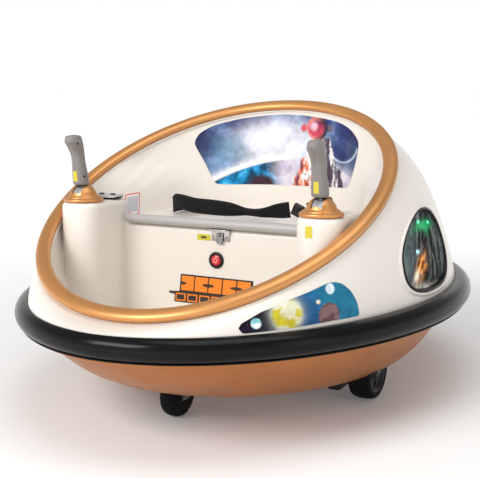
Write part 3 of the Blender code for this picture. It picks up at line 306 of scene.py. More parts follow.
def woven(name, colour):
    """Ribbed webbing: cross ribs, long yarns, a little fuzz, and a painted highlight on the raised weave."""
    material = plain_material(name, colour, 0.80, Sheen_Weight=0.04, Sheen_Roughness=0.5, IOR=1.2)
    where = coords(material, (1.0, 1.0, 1.0), "UV")
    ribs = add_node(material, "ShaderNodeTexWave", {"Vector": where, "Scale": 0.42, "Distortion": 0.3,
                    "Detail": 1.0, "Detail Scale": 2.0}, bands_direction="Y").outputs["Fac"]
    yarns = add_node(material, "ShaderNodeTexWave", {"Vector": where, "Scale": 0.30, "Distortion": 0.2},
                     bands_direction="X").outputs["Fac"]
    height = math_of(material, "ADD", math_of(material, "MULTIPLY", ribs, 0.7),
                     math_of(material, "MULTIPLY", yarns, 0.5))
    # Painted highlight: the raised ribs and yarns are painted lighter than the hollows.
    light = tuple(min(1.0, channel * 2.1 + 0.006) for channel in colour)
    feed(material, mix_of(material, math_of(material, "MULTIPLY", height, 0.55, True), colour, light),
         "Base Color")
    bump_of(material, height, 0.8, 0.00035)
    return material


def brushed(name, colour, roughness):
    """Bare metal: fine lines round the piece and dull blotches."""
    material = plain_material(name, colour, roughness, Metallic=1.0)
    lines = noise_of(material, coords(material, (1.0, 40.0, 40.0)), 60.0, 4.0, 0.6)
    feed(material, steps_of(material, lines, (0.3, roughness * 0.7), (0.7, roughness * 1.4)), "Roughness")
    blotch = noise_of(material, coords(material), 30.0, 4.0, 0.6)
    dull = tuple(channel * 0.78 for channel in colour)
    feed(material, ramp_of(material, blotch, [(0.35, dull), (0.65, colour)]), "Base Color")
    bump_of(material, lines, 0.25, 0.00005)
    return material


def glowing(name, colour, strength):
    """A lit diode or symbol, paler in places."""
    material = plain_material(name, colour, 0.3, Emission_Strength=strength, Emission_Color=(*colour, 1.0))
    fade = noise_of(material, coords(material), 200.0, 1.0)
    pale = tuple(min(1.0, channel + 0.25) for channel in colour)
    feed(material, ramp_of(material, fade, [(0.3, colour), (0.8, pale)]), "Base Color")
    return material


def painted_reflector(name):
    """The lamp's bowl: painted reflections and painted glow on the mesh, which also glow a little, over fine
    flutes.
    """
    material = plain_material(name, grey(0.1), 0.35, IOR=1.06, Emission_Strength=0.60)
    shown = add_node(material, "ShaderNodeAttribute", attribute_name="print").outputs["Color"]
    feed(material, shown, "Base Color")
    # The painted reflections also feed the emission, as painted glow.
    feed(material, shown, "Emission Color")
    bump_of(material, noise_of(material, coords(material, (1.0, 6.0, 1.0)), 90.0, 2.0), 0.3, 0.0006)
    return material


def clear_moulding(name):
    material = plain_material(name, (0.96, 0.98, 0.98), 0.03, Transmission_Weight=1.0, IOR=1.012)
    bump_of(material, noise_of(material, coords(material), 60.0, 1.0), 0.10, 0.0004)
    return material


MATERIALS = {}
# Each moulding's name, colour, roughness, grain and its depth, colour drift, and other sockets.
MOULDED = {
    "cream": ("cream_moulding", (0.79, 0.735, 0.665), 0.30, 70.0, 0.00002, 0.008, {"Coat_Weight": 0.12}),
    "bumper": ("bumper_rubber", (0.0065, 0.006, 0.0065), 0.20, 120.0, 0.00003, 0.25, {"IOR": 1.23}),
    "rubber": ("tread_rubber", (0.006, 0.006, 0.0065), 0.55, 1100.0, 0.00010, 0.25, {"IOR": 1.2}),
    "gasket": ("gasket_rubber", grey(0.009), 0.40, 1500.0, 0.00004, 0.2, {"IOR": 1.3}),
    "black": ("black_plastic", (0.016, 0.016, 0.017), 0.38, 1200.0, 0.00005, 0.2, {"IOR": 1.35}),
    "grip": ("grip_plastic", (0.215, 0.197, 0.184), 0.42, 900.0, 0.00006, 0.06, {}),
    "roll": ("edging_plastic", (0.40, 0.385, 0.37), 0.34, 1200.0, 0.00006, 0.05, {}),
    "panel": ("panel_plastic", (0.56, 0.555, 0.55), 0.34, 1300.0, 0.00006, 0.05, {}),
    "drum": ("drum_plastic", (0.45, 0.45, 0.46), 0.26, 1200.0, 0.00004, 0.06, {"Metallic": 0.35}),
    "nylon": ("white_nylon", (0.72, 0.70, 0.64), 0.42, 900.0, 0.00010, 0.06, {}),
    "red": ("red_button", (0.62, 0.018, 0.030), 0.20, 1500.0, 0.00003, 0.10, {"Coat_Weight": 0.4}),
    "thread": ("belt_thread", grey(0.05), 0.8, 3000.0, 0.0001, 0.3, {}),
    "wire": ("cable_jacket", (0.03, 0.03, 0.032), 0.5, 1500.0, 0.0001, 0.2, {}),
    "yellow": ("yellow_label", (0.60, 0.50, 0.035), 0.42, 1500.0, 0.00003, 0.08, {}),
    "label": ("white_label", grey(0.80), 0.40, 1500.0, 0.00003, 0.05, {}),
    "label_grey": ("label_panel", (0.50, 0.51, 0.54), 0.45, 1500.0, 0.00003, 0.15, {}),
    "label_red": ("label_border", (0.72, 0.06, 0.06), 0.40, 1500.0, 0.00003, 0.05, {}),
    "orange": ("orange_print", (0.93, 0.24, 0.02), 0.32, 1500.0, 0.00003, 0.05, {}),
    "ink": ("dark_print", (0.035, 0.024, 0.020), 0.36, 1500.0, 0.00003, 0.15, {}),
    "dots": ("dot_rubber", (0.02, 0.02, 0.022), 0.5, 1500.0, 0.00005, 0.1, {}),
}


def make_materials():
    for key, (name, colour, roughness, grain, depth, drift, sockets) in MOULDED.items():
        MATERIALS[key] = moulded(name, colour, roughness, grain, depth, drift, **sockets)
    MATERIALS.update({
        "copper": copper_paint("copper_moulding", (0.62, 0.285, 0.090), 300.0, 0.00003, 0.15),
        "bowl": copper_paint("copper_bowl", (0.44, 0.160, 0.040), 9.0, 0.012, 0.55),
        "steel": brushed("bright_steel", (0.62, 0.61, 0.59), 0.30),
        "dark_steel": brushed("plated_steel", (0.36, 0.36, 0.37), 0.34),
        "webbing": woven("black_webbing", (0.006, 0.006, 0.0065)),
        "chrome": painted_reflector("reflector_bowl"),
        "lens": clear_moulding("clear_lens"),
        "symbol": glowing("button_symbol", (1.0, 0.30, 0.32), 0.7),
        "green": glowing("green_led", (0.10, 0.85, 0.42), 1.6),
        "cyan": glowing("cyan_led", (0.45, 0.95, 0.95), 2.5),
        "print_back": printed("printed_back"),
        "print_front": printed("printed_front"),
    })


# ---------------------------------------------------------------- mesh helpers

def add_piece(name, mesh, material, *replaced, body=ROOT, slot="", sharp=35.0):
    """Link a mesh as a piece: its material, its body, its finish, and the nodes it stands for."""
    piece = link(bpy.data.objects.new(name, mesh))
    mesh.materials.append(MATERIALS[material])
    shade(mesh, sharp)
    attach(piece, body)
    if replaced:
        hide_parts(*replaced)
    return piece


def shade(mesh, sharp=35.0):
    mesh.shade_smooth()
    mesh.set_sharp_from_angle(angle=radians(sharp))


def mesh_of(name, form, recalc=True):
    if recalc:
        bmesh.ops.recalc_face_normals(form, faces=form.faces)
    mesh = bpy.data.meshes.new(name)
    form.to_mesh(mesh)
    form.free()
    return mesh


def skin(form, rows, wrap=True, close=False):
    """Faces between rows of points; wrap joins a row's ends, close joins the last row to the first."""
    made = [[form.verts.new(point) for point in row] for row in rows]
    pairs = list(zip(made, made[1:])) + ([(made[-1], made[0])] if close else [])
    for low, high in pairs:
        count = len(low)
        for i in range(count if wrap else count - 1):
            j = (i + 1) % count
            form.faces.new((low[i], low[j], high[j], high[i]))
    return made


def lofted(name, rows, close=False):
    """A closed solid through rings of points."""
    form = bmesh.new()
    made = skin(form, rows, True, close)
    if not close:
        for ring in (made[0], made[-1]):
            form.faces.new(ring)
    return mesh_of(name, form)


def angles(steps=AROUND):
    return [2 * pi * i / steps for i in range(steps)]


def mirrored(profile):
    """The profile followed by its own mirror image below."""
    return profile + [(radius, -level) for radius, level in reversed(profile)]


def turned(name, profile, place, steps=48, ring=False):
    """A solid of revolution about place's Z axis; a ring is open at its middle."""
    form = bmesh.new()
    rows = [[place @ Vector((radius * cos(turn), radius * sin(turn), height)) for turn in angles(steps)]
            for radius, height in profile]
    made = skin(form, rows, True, ring)
    if not ring:
        for row in (made[0], made[-1]):
            form.faces.new(row)
    bmesh.ops.remove_doubles(form, verts=form.verts, dist=1e-7)
    return mesh_of(name, form)


def box_mesh(name, low, high, bevel=0.0, place=None, segments=3):
    """A block between two corners, with rounded edges, moved to its place."""
    form = bmesh.new()
    bmesh.ops.create_cube(form, size=1.0)
    middle = (Vector(low) + Vector(high)) / 2
    bmesh.ops.scale(form, vec=Vector(high) - Vector(low), verts=form.verts)
    bmesh.ops.translate(form, vec=middle, verts=form.verts)
    if bevel:
        bmesh.ops.bevel(form, geom=form.edges[:], offset=bevel, segments=segments, profile=0.5,
                        affect="EDGES")
    if place:
        bmesh.ops.transform(form, matrix=place, verts=form.verts)
    return mesh_of(name, form)


def merged(name, meshes):
    """One mesh out of several."""
    form = bmesh.new()
    for mesh in meshes:
        form.from_mesh(mesh)
        bpy.data.meshes.remove(mesh)
    return mesh_of(name, form, recalc=False)


def helper(name, mesh):
    return link(bpy.data.objects.new(name, mesh))


def baked(thing):
    """The mesh with its modifiers applied; the helper object goes."""
    graph = bpy.context.evaluated_depsgraph_get()
    graph.update()
    mesh = bpy.data.meshes.new_from_object(thing.evaluated_get(graph))
    bpy.data.objects.remove(thing)
    return mesh


def walled(mesh, thickness, offset=-1.0, even=False, levels=0):
    """The surface given a wall, then smoothed by some levels of subdivision."""
    thing = helper(mesh.name, mesh)
    wall = thing.modifiers.new("wall", "SOLIDIFY")
    wall.thickness = thickness
    wall.offset = offset
    wall.use_even_offset = even
    if levels:
        thing.modifiers.new("smooth", "SUBSURF").levels = levels
    return baked(thing)


def cut(mesh, cutters, operation="DIFFERENCE"):
    """Boolean of one mesh with several, exact."""
    thing = helper(mesh.name, mesh)
    others = [helper(f"cutter_{i}", cutter) for i, cutter in enumerate(cutters)]
    for other in others:
        step = thing.modifiers.new("cut", "BOOLEAN")
        step.solver = "EXACT"
        step.operation = operation
        step.object = other
    result = baked(thing)
    for other in others:
        bpy.data.objects.remove(other)
    result.name = mesh.name
    return result


def place_at(point, normal, spin=0.0):
    turn = Vector(normal).to_track_quat("Z", "Y").to_matrix().to_4x4()
    return Matrix.Translation(point) @ turn @ Matrix.Rotation(spin, 4, "Z")


def along(axis, centre):
    turns = {"X": Matrix.Rotation(pi / 2, 4, "Y"), "Z": Matrix.Identity(4),
             "FRONT": Matrix.Rotation(pi / 2, 4, "X")}
    return Matrix.Translation(centre) @ turns[axis]


def smooth_path(points, per_span=8):
    """A Catmull-Rom curve through the points, which may be of any size."""
    result = []
    for i in range(len(points) - 1):
        a, b = points[max(i - 1, 0)], points[i]
        c, d = points[i + 1], points[min(i + 2, len(points) - 1)]
        for k in range(per_span):
            t = k / per_span
            result.append(tuple(0.5 * (2 * q + (r - p) * t + (2 * p - 5 * q + 4 * r - s) * t * t
                                       + (3 * q - p - 3 * r + s) * t ** 3)
                                for p, q, r, s in zip(a, b, c, d)))
    result.append(tuple(points[-1]))
    return result


# ---------------------------------------------------------------- the car's own curves

def oval(half_x, half_y, power, angle, widening=0.0):
    c = cos(angle)
    s = sin(angle)
    x = copysign(abs(c) ** (2 / power), c) * half_x
    y = copysign(abs(s) ** (2 / power), s)
    return Vector((x * (1 + widening * y), y * half_y))


def oval_normal(half_x, half_y, power, angle, widening=0.0):
    step = 0.02
    ahead = oval(half_x, half_y, power, angle + step, widening)
    behind = oval(half_x, half_y, power, angle - step, widening)
    run = (ahead - behind).normalized()
    return Vector((run.y, -run.x))


def rim_point(angle, outward=0.0, lift=0.0):
    shape = (RIM_HALF_WIDTH, RIM_HALF_LENGTH, RIM_POWER, angle, RIM_WIDENING)
    flat = oval(*shape) + oval_normal(*shape) * outward
    y = flat.y * cos(RIM_TILT) - lift * sin(RIM_TILT)
    z = flat.y * sin(RIM_TILT) + lift * cos(RIM_TILT)
    return Vector((flat.x, RIM_Y + y, RIM_Z + z))


def curve_point(start, control, end, t):
    return start * (1 - t) ** 2 + control * (2 * t * (1 - t)) + end * t ** 2


def dome_point(angle, t):
    base = oval(BASE_HALF_WIDTH, BASE_HALF_LENGTH, OVAL_POWER, angle)
    start = Vector((base.x, base.y, BASE_Z))
    end = rim_point(angle, EDGE_INSET, -EDGE_DROP)
    rearward = (1 + sin(angle)) / 2
    lean = 0.239 + 0.275 * rearward
    rise = 1.162 - 0.266 * rearward
    control = start + Vector(((end.x - start.x) * lean, (end.y - start.y) * lean, (end.z - start.z) * rise))
    return curve_point(start, control, end, t)


def dome_normal(angle, t):
    step = 0.01
    round_it = dome_point(angle + step, t) - dome_point(angle - step, t)
    up_it = dome_point(angle, t + step) - dome_point(angle, t - step)
    return round_it.cross(up_it).normalized()


def bowl_point(angle, t, inset=0.0):
    top = oval(BOWL_HALF_WIDTH - inset, BOWL_HALF_LENGTH - inset, OVAL_POWER, angle)
    low = oval(BOWL_FLAT_HALF_WIDTH - inset / 2, BOWL_FLAT_HALF_LENGTH - inset / 2, 2.0, angle)
    start = Vector((top.x, top.y, BOWL_Z))
    end = Vector((low.x, low.y, BOWL_FLAT_Z + inset))
    control = Vector((start.x + (end.x - start.x) * 0.417, start.y + (end.y - start.y) * 0.417,
                      start.z + (end.z - start.z) * 0.977))
    return curve_point(start, control, end, t)


def bolster(point):
    forward = max(0.0, 1 - abs(point.y + 0.025) / 0.135)
    height = min(1.0, max(0.0, (0.400 - point.z) / 0.060))
    side = min(1.0, max(0.0, (abs(point.x) - 0.12) / 0.08))
    return 0.030 * forward ** 2 * (3 - 2 * forward) * height ** 2 * (3 - 2 * height) * side


def tub_point(angle, t, grow=0.0):
    start = rim_point(angle, grow - EDGE_INSET, -EDGE_DROP)
    low = oval(0.205 + grow, 0.235 + grow, 2.6, angle)
    end = Vector((low.x, low.y - 0.158, FLOOR_Z - grow))
    control = Vector((start.x + (end.x - start.x) * 0.30, start.y + (end.y - start.y) * 0.30,
                      end.z + (start.z - end.z) * 0.05))
    point = curve_point(start, control, end, t)
    point.x -= copysign(bolster(point), point.x)
    return point


def lamp_patch(side, across, upward, lift):
    """A point over the dome by its share across and up the lamp."""
    t = LAMP_T + LAMP_T_SPAN * upward
    angle = LAMP_ANGLE + LAMP_ANGLE_SPAN * across * (1 - 0.06 * upward) + LAMP_LEAN * upward
    if side < 0:
        angle = pi - angle
    return dome_point(angle, t) + dome_normal(angle, t) * lift


def lamp_point(side, around, reach, lift):
    """A point on the lamp's outline, which is squarer below, drawn in or out by reach."""
    power = 2.0 if sin(around) > 0 else 2.8
    across, upward = (copysign(abs(share) ** (2 / power), share) * reach
                      for share in (cos(around), sin(around)))
    return lamp_patch(side, across, upward, lift)


def lamp_ring(side, reach, lift, steps=96):
    return [lamp_point(side, 2 * pi * i / steps, reach, lift) for i in range(steps)]


# ---------------------------------------------------------------- shells

def charge_place():
    return place_at(dome_point(pi / 2, CHARGE_T), dome_normal(pi / 2, CHARGE_T))


def make_upper_shell():
    """The cream dome: a turned-in foot, the flank up to the rim, and its lamp and socket holes."""
    rows = []
    for half_x, half_y, height in ((SEAM_HALF_WIDTH - 0.004, SEAM_HALF_LENGTH - 0.004, BASE_LOW_Z),
                                   (BASE_HALF_WIDTH - 0.0012, BASE_HALF_LENGTH - 0.0012, BASE_LOW_Z),
                                   (BASE_HALF_WIDTH, BASE_HALF_LENGTH, BASE_LOW_Z + 0.0010)):
        rows.append([(*oval(half_x, half_y, OVAL_POWER, angle), height) for angle in angles()])
    rows += [[dome_point(angle, k / 36) for angle in angles()] for k in range(37)]
    form = bmesh.new()
    skin(form, rows)
    mesh = walled(mesh_of("shell_form", form), SKIN, even=True)
    layers = ((0.2, -0.012), (0.7, -0.012), (1.070, -0.012), (1.070, 0.010), (0.7, 0.010), (0.2, 0.010))
    holes = [lofted("lamp_hole", [lamp_ring(side, reach, lift) for reach, lift in layers])
             for side in (1, -1)]
    holes.append(turned("charge_hole", [(0.0103, -0.015), (0.0103, 0.015)], charge_place(), 32))
    add_piece("shell_upper", cut(mesh, holes), "cream", "upper_shell", sharp=30.0)


def bumper_section(angle):
    """The ring's closed section at an angle: flat shelf, round nose, a groove and the lip over the bowl."""
    shape = (BUMPER_HALF_WIDTH, BUMPER_HALF_LENGTH, OVAL_POWER, angle)
    outer = oval(*shape)
    normal = oval_normal(*shape)
    inner = oval(SEAM_HALF_WIDTH, SEAM_HALF_LENGTH, OVAL_POWER, angle)
    base = oval(BASE_HALF_WIDTH, BASE_HALF_LENGTH, OVAL_POWER, angle)
    shelf = (outer - base).dot(normal) - 0.0008
    crown = min(BUMPER_RADIUS, shelf - 0.0010)
    top_turn = acos(1 - crown / BUMPER_RADIUS)
    crown_z = BUMPER_Z + BUMPER_RADIUS * sin(top_turn)
    steps = [(shelf, BASE_LOW_Z - GAP), (shelf, crown_z - 0.0012), (shelf - 0.0006, crown_z)]
    low_turn = radians(-64)
    for i in range(19):
        turn = top_turn + (low_turn - top_turn) * i / 18
        steps.append((BUMPER_RADIUS * (1 - cos(turn)), BUMPER_Z + BUMPER_RADIUS * sin(turn)))
    steps += mm((12.2, 152.9), (12.8, 152.4), (12.2, 151.9), (9.8, 151.8), (9.1, 151.4), (8.9, 150.6),
                (9.1, 149.9))
    steps.append((0.0099, BUMPER_LIP_Z))
    points = [Vector((inner.x, inner.y, BASE_LOW_Z - GAP))]
    for inset, height in steps:
        flat = outer - normal * inset
        points.append(Vector((flat.x, flat.y, height)))
    points.append(Vector((inner.x, inner.y, BUMPER_LIP_Z)))
    return points


def make_bumper():
    mesh = lofted("bumper", [bumper_section(angle) for angle in angles(288)], True)
    add_piece("bumper", mesh, "bumper", "bumper_ring", sharp=40.0)


def make_rim():
    """The copper trim's rounded section and the cream seat under it, both carried round the rim."""
    start = asin(RIM_FLAT / RIM_SECTION_HALF_HEIGHT)
    trim = []
    for i in range(28):
        turn = start + (pi - 2 * start) * i / 27
        half_height = RIM_SECTION_HALF_HEIGHT - (RIM_CREST_DRAFT if 0 < turn < pi else 0.0)
        trim.append((RIM_SECTION_HALF_WIDTH * cos(turn), half_height * sin(turn)))
    seat = mm((-11.4, -6.3), (-11.8, -7.6), (-10.4, -9.6), (10, -8.6), (11.4, -7.6), (11, -6.3))
    for name, section, material, replaced in (("rim", trim, "copper", ["rim_trim"]),
                                              ("rim_seat", seat, "cream", [])):
        rows = [[rim_point(angle, across, lift) for across, lift in section] for angle in angles(288)]
        add_piece(name, lofted(name, rows, True), material, *replaced, sharp=50.0)


def crater_field():
    """Shallow round dents over the bowl, some small, some broad: place, radius, depth."""
    rng = random.Random(17)
    field = []
    for _ in range(90):
        angle = rng.uniform(0, 2 * pi)
        t = rng.uniform(0.12, 0.92)
        radius = rng.choice((0.010, 0.014, 0.018, 0.026, 0.036)) * rng.uniform(0.85, 1.15)
        field.append((bowl_point(angle, t), radius, radius * rng.uniform(0.045, 0.075)))
    return field


def dented(point, field):
    """How far the dents draw a bowl point in."""
    total = 0.0
    for centre, radius, depth in field:
        near = (point - centre).length / radius
        if near < 1.35:
            total += depth * (1 - near * near) ** 2 if near < 1 else 0.0
            total -= 0.16 * depth * max(0.0, 1 - abs(near - 1.08) / 0.27)
    return max(-0.0004, min(0.0020, total))


FLOOR_SCREWS = mm((135, -185), (-135, -185), (150, 60), (-150, 60))


def drive_bay_box(side, grow, low_z=-0.01):
    low = (0.086 - grow, DRIVE_Y - 0.062 - grow, low_z)
    high = (0.262 + grow, DRIVE_Y + 0.062 + grow, 0.112 + grow)
    if side < 0:
        low, high = (-high[0], low[1], low[2]), (-low[0], high[1], high[2])
    return box_mesh("bay", low, high)


def cup_mesh(end, grow):
    profile = [(CASTER_CUP_RADIUS + grow, -0.01), (CASTER_CUP_RADIUS + grow, CASTER_CUP_TOP + grow)]
    return turned("cup", profile, Matrix.Translation((0.0, end * CASTER_PIVOT_Y, 0.0)), 72)


def make_lower_shell():
    """The dented bowl with its lip, hollow inside, with drive bays, caster cups and holes cut through."""
    field = crater_field()
    outer = []
    for k in range(41):
        row = []
        for angle in angles(240):
            point = bowl_point(angle, k / 40)
            inward = Vector((-point.x * 0.8, -point.y * 0.5, 0.12)).normalized()
            row.append(point + inward * dented(point, field) * (1.0 if 0 < k < 40 else 0.0))
        outer.append(row)
    form = lofted("bowl", outer)
    lip = [[(*oval(BASE_HALF_WIDTH + 0.004, BASE_HALF_LENGTH - 0.002, OVAL_POWER, angle), height)
            for angle in angles(240)] for height in (BOWL_Z, BOWL_Z + 0.003)]
    form = cut(form, [lofted("lip", lip)], "UNION")
    inner = [[bowl_point(angle, 0.0, SKIN) + Vector((0, 0, 0.03)) for angle in angles(96)]]
    inner += [[bowl_point(angle, k / 16, SKIN + 0.0008) for angle in angles(96)] for k in range(17)]
    wells = [drive_bay_box(1, SKIN), drive_bay_box(-1, SKIN), cup_mesh(-1, SKIN), cup_mesh(1, SKIN)]
    inside = cut(lofted("inside", inner), wells)
    spaces = [inside, drive_bay_box(1, 0.0), drive_bay_box(-1, 0.0), cup_mesh(-1, 0.0), cup_mesh(1, 0.0)]
    for end in (-1, 1):
        spaces.append(turned("stem_hole", [(0.0088, 0.08), (0.0088, 0.12)],
                             Matrix.Translation((0.0, end * CASTER_PIVOT_Y, 0.0)), 32))
    for x, y in FLOOR_SCREWS:
        spaces.append(turned("hole", [(0.0030, 0.03), (0.0030, 0.06)], Matrix.Translation((x, y, 0.0)), 20))
    add_piece("shell_lower", cut(form, spaces), "bowl", "lower_shell", sharp=35.0)


# ---------------------------------------------------------------- cockpit

def pod_outline(grow, steps=28):
    radius = POD_RADIUS + grow
    rear = POD_REAR_Y + grow
    corner = 0.012
    outline = []
    for i in range(steps + 1):
        turn = pi + pi * i / steps
        outline.append((POD_X + radius * cos(turn), POD_Y + radius * sin(turn)))
    for x_sign, first in ((1, 0.0), (-1, pi / 2)):
        for i in range(7):
            turn = first + pi / 12 * i
            outline.append((POD_X + x_sign * (radius - corner) + corner * cos(turn),
                            rear - corner + corner * sin(turn)))
    return outline


def pod_mesh(side, low, high, rounding):
    rows = []
    middle = Vector((POD_X, (POD_Y + POD_REAR_Y) / 2))
    levels = [(low, 0.0)] + [(high - rounding + rounding * sin(pi / 2 * i / 6),
                              1 - cos(pi / 2 * i / 6)) for i in range(7)]
    for height, pull in levels:
        row = []
        for x, y in pod_outline(0.0):
            inward = (middle - Vector((x, y))).normalized() * rounding * pull
            row.append((side * (x + inward.x), y + inward.y, height))
        rows.append(row)
    return lofted("pod", rows)


def rim_height(point):
    """Height over the plane of the rim's centre line."""
    return (point.z - RIM_Z) * cos(RIM_TILT) - (point.y - RIM_Y) * sin(RIM_TILT)


def near_pod(point, reach=0.004):
    x = abs(point.x) - POD_X
    if point.y < POD_Y:
        return hypot(x, point.y - POD_Y) < POD_RADIUS + reach
    return abs(x) < POD_RADIUS + reach and point.y < POD_REAR_Y + reach


def tub_air():
    """The open space of the cockpit as one solid: what the tub's skin is wrapped round."""
    up = Vector((0.0, -sin(RIM_TILT), cos(RIM_TILT))) * 0.060
    rows = [[tub_point(angle, 0.0) + up for angle in angles(144)]]
    rows += [[tub_point(angle, k / 26) for angle in angles(144)] for k in range(27)]
    low = FLOOR_Z - 0.02
    block = box_mesh("block", (-0.40, RISER_Y, low), (0.40, 0.30, DECK_Z))
    pods = [pod_mesh(side, low, POD_TOP_Z, 0.0025) for side in (1, -1)]
    thing = helper("air", cut(lofted("air", rows), [block] + pods))
    remesh = thing.modifiers.new("remesh", "REMESH")
    remesh.mode = "VOXEL"
    remesh.voxel_size = 0.0038
    ease = thing.modifiers.new("ease", "SMOOTH")
    ease.factor = 0.5
    ease.iterations = 5
    return baked(thing)


def is_open(point):
    """Whether a point of the skin is over the rim, in the hatch or in one of the holes."""
    over = rim_height(point) > TUB_EDGE and not near_pod(point)
    lid = rim_height(point) > 0.044
    hatch = (abs(point.z - DECK_Z) < 0.003 and abs(point.x) < HATCH_HALF_WIDTH
             and HATCH_FRONT_Y < point.y < HATCH_REAR_Y)
    stick = point.z > POD_TOP_Z - 0.002 and hypot(abs(point.x) - POD_X, point.y - POD_Y) < STICK_HOLE_RADIUS
    button = abs(point.y - RISER_Y) < 0.003 and hypot(point.x - BUTTON_X,
                                                      point.z - BUTTON_Z) < BUTTON_HOLE_RADIUS
    return over or lid or hatch or stick or button


def open_tub(mesh):
    """Cut the skin along the rim, the stick holes, the button's hole and the hatch, and face it inwards."""
    form = bmesh.new()
    form.from_mesh(mesh)
    bpy.data.meshes.remove(mesh)
    normal = Vector((0.0, -sin(RIM_TILT), cos(RIM_TILT)))
    edge = Vector((0.0, RIM_Y, RIM_Z)) + normal * TUB_EDGE
    everything = form.verts[:] + form.edges[:] + form.faces[:]
    bmesh.ops.bisect_plane(form, geom=everything, plane_co=edge, plane_no=normal)
    for point, direction in (((-HATCH_HALF_WIDTH, 0, 0), (1, 0, 0)), ((HATCH_HALF_WIDTH, 0, 0), (1, 0, 0)),
                             ((0, HATCH_FRONT_Y, 0), (0, 1, 0)), ((0, HATCH_REAR_Y, 0), (0, 1, 0))):
        deck = [face for face in form.faces if abs(face.calc_center_median().z - DECK_Z) < 0.002
                and abs(face.normal.z) > 0.9]
        parts = set(deck) | {e for f in deck for e in f.edges} | {v for f in deck for v in f.verts}
        bmesh.ops.bisect_plane(form, geom=list(parts), plane_co=point, plane_no=direction)
    bmesh.ops.delete(form, geom=[face for face in form.faces if is_open(face.calc_center_median())],
                     context="FACES")
    bmesh.ops.delete(form, geom=[v for v in form.verts if not v.link_faces], context="VERTS")
    bmesh.ops.reverse_faces(form, faces=form.faces)
    return mesh_of("tub", form, recalc=False)


def make_tub():
    """The cockpit's one moulding; its search tree lets labels be laid on it."""
    tub = add_piece("tub", walled(open_tub(tub_air()), 0.0024), "cream", "cockpit_tub", sharp=60.0)
    return BVHTree.FromObject(tub, bpy.context.evaluated_depsgraph_get())


# ---------------------------------------------------------------- printed films

def rounded(outline, radius, steps=5):
    """A closed outline with its corners drawn as short curves."""
    result = []
    count = len(outline)
    for i in range(count):
        before, here, after = (Vector(outline[(i + k) % count]) for k in (-1, 0, 1))
        back = (before - here)
        ahead = (after - here)
        start = here + back.normalized() * min(radius, back.length * 0.46)
        end = here + ahead.normalized() * min(radius, ahead.length * 0.46)
        result += [curve_point(start, here, end, k / steps) for k in range(steps + 1)]
    return result


def inside(point, outline):
    x, y = point
    odd = False
    for (x0, y0), (x1, y1) in zip(outline, outline[1:] + outline[:1]):
        if (y0 > y) != (y1 > y) and x < (x1 - x0) * (y - y0) / (y1 - y0) + x0:
            odd = not odd
    return odd


def dense(outline, spacing):
    """The outline with extra points so that no edge is longer than spacing."""
    result = []
    for a, b in zip(outline, outline[1:] + outline[:1]):
        pieces = max(1, ceil((b - a).length / spacing))
        result += [a.lerp(b, k / pieces) for k in range(pieces)]
    return result


def oblong(low_x, low_y, high_x, high_y):
    return [(low_x, low_y), (high_x, low_y), (high_x, high_y), (low_x, high_y)]


def paint_points(mesh, colours):
    """Give each point of the mesh its colour, in a layer that the material reads."""
    layer = mesh.color_attributes.new("print", "FLOAT_COLOR", "POINT")
    for i, colour in enumerate(colours):
        layer.data[i].color = (*colour, 1.0)


def film(name, outline, surface, material, spacing, body=ROOT, slot="cream_plastic", rise=0.0006,
         thickness=0.00025, paint=None):
    """A thin printed film laid over a surface, whose two coordinates the outline is given in."""
    edge = dense([Vector(point) for point in outline], spacing)
    low = [min(point[i] for point in edge) for i in (0, 1)]
    high = [max(point[i] for point in edge) for i in (0, 1)]
    points = list(edge)
    flat = [tuple(point) for point in edge]
    v = low[1] + spacing / 2
    while v < high[1]:
        u = low[0] + spacing / 2
        while u < high[0]:
            near = min((point.x - u) ** 2 + (point.y - v) ** 2 for point in edge)
            if near > (spacing * 0.45) ** 2 and inside((u, v), flat):
                points.append(Vector((u, v)))
            u += spacing
        v += spacing
    edges = [(i, (i + 1) % len(edge)) for i in range(len(edge))]
    flat_points, _, faces, _, _, _ = delaunay_2d_cdt(points, edges, [], 1, 1e-9)
    top, low_side = [], []
    for point in flat_points:
        place, normal = surface(point[0], point[1])
        top.append(place + normal * rise)
        low_side.append(place + normal * (rise - thickness))
    form = bmesh.new()
    upper = [form.verts.new(point) for point in top]
    lower = [form.verts.new(point) for point in low_side]
    border = {}
    for face in faces:
        form.faces.new([upper[i] for i in face])
        form.faces.new([lower[i] for i in reversed(face)])
        for a, b in zip(face, face[1:] + face[:1]):
            border[(a, b)] = border.get((a, b), 0) + 1
    for a, b in border:
        if (b, a) not in border:
            form.faces.new((upper[b], upper[a], lower[a], lower[b]))
    mesh = mesh_of(name, form)
    if paint:
        paint_points(mesh, [paint(point[0], point[1]) for point in flat_points] * 2)
    return add_piece(name, mesh, material, body=body, slot=slot, sharp=60.0)


def printed(name):
    """Glossy printed vinyl: the painted colour with a fine dot grain and specks of stars."""
    material = plain_material(name, grey(0.5), 0.30, IOR=1.25)
    base = add_node(material, "ShaderNodeAttribute", attribute_name="print").outputs["Color"]
    where = coords(material)
    cloud = steps_of(material, noise_of(material, where, 55.0, 6.0, 0.62, 0.6), (0.30, 0.25), (0.70, 0.78))
    toned = mix_of(material, 0.55, base, cloud, "OVERLAY")
    cells = add_node(material, "ShaderNodeTexVoronoi", {"Vector": where, "Scale": 210.0}).outputs["Distance"]
    stars = steps_of(material, cells, (0.05, 1.0), (0.10, 0.0))
    patchy = steps_of(material, noise_of(material, where, 40.0, 2.0), (0.52, 0.0), (0.62, 0.6))
    shown = mix_of(material, 1.0, stars, patchy, "MULTIPLY")
    feed(material, mix_of(material, shown, toned, (0.85, 0.92, 1.0)), "Base Color")
    bump_of(material, noise_of(material, where, 1800.0, 1.0), 0.2, 0.00002)
    return material


def ease(low, high, value):
    t = min(1.0, max(0.0, (value - low) / (high - low)))
    return t * t * (3 - 2 * t)


def blend_colour(a, b, amount):
    return tuple(p + (q - p) * amount for p, q in zip(a, b))


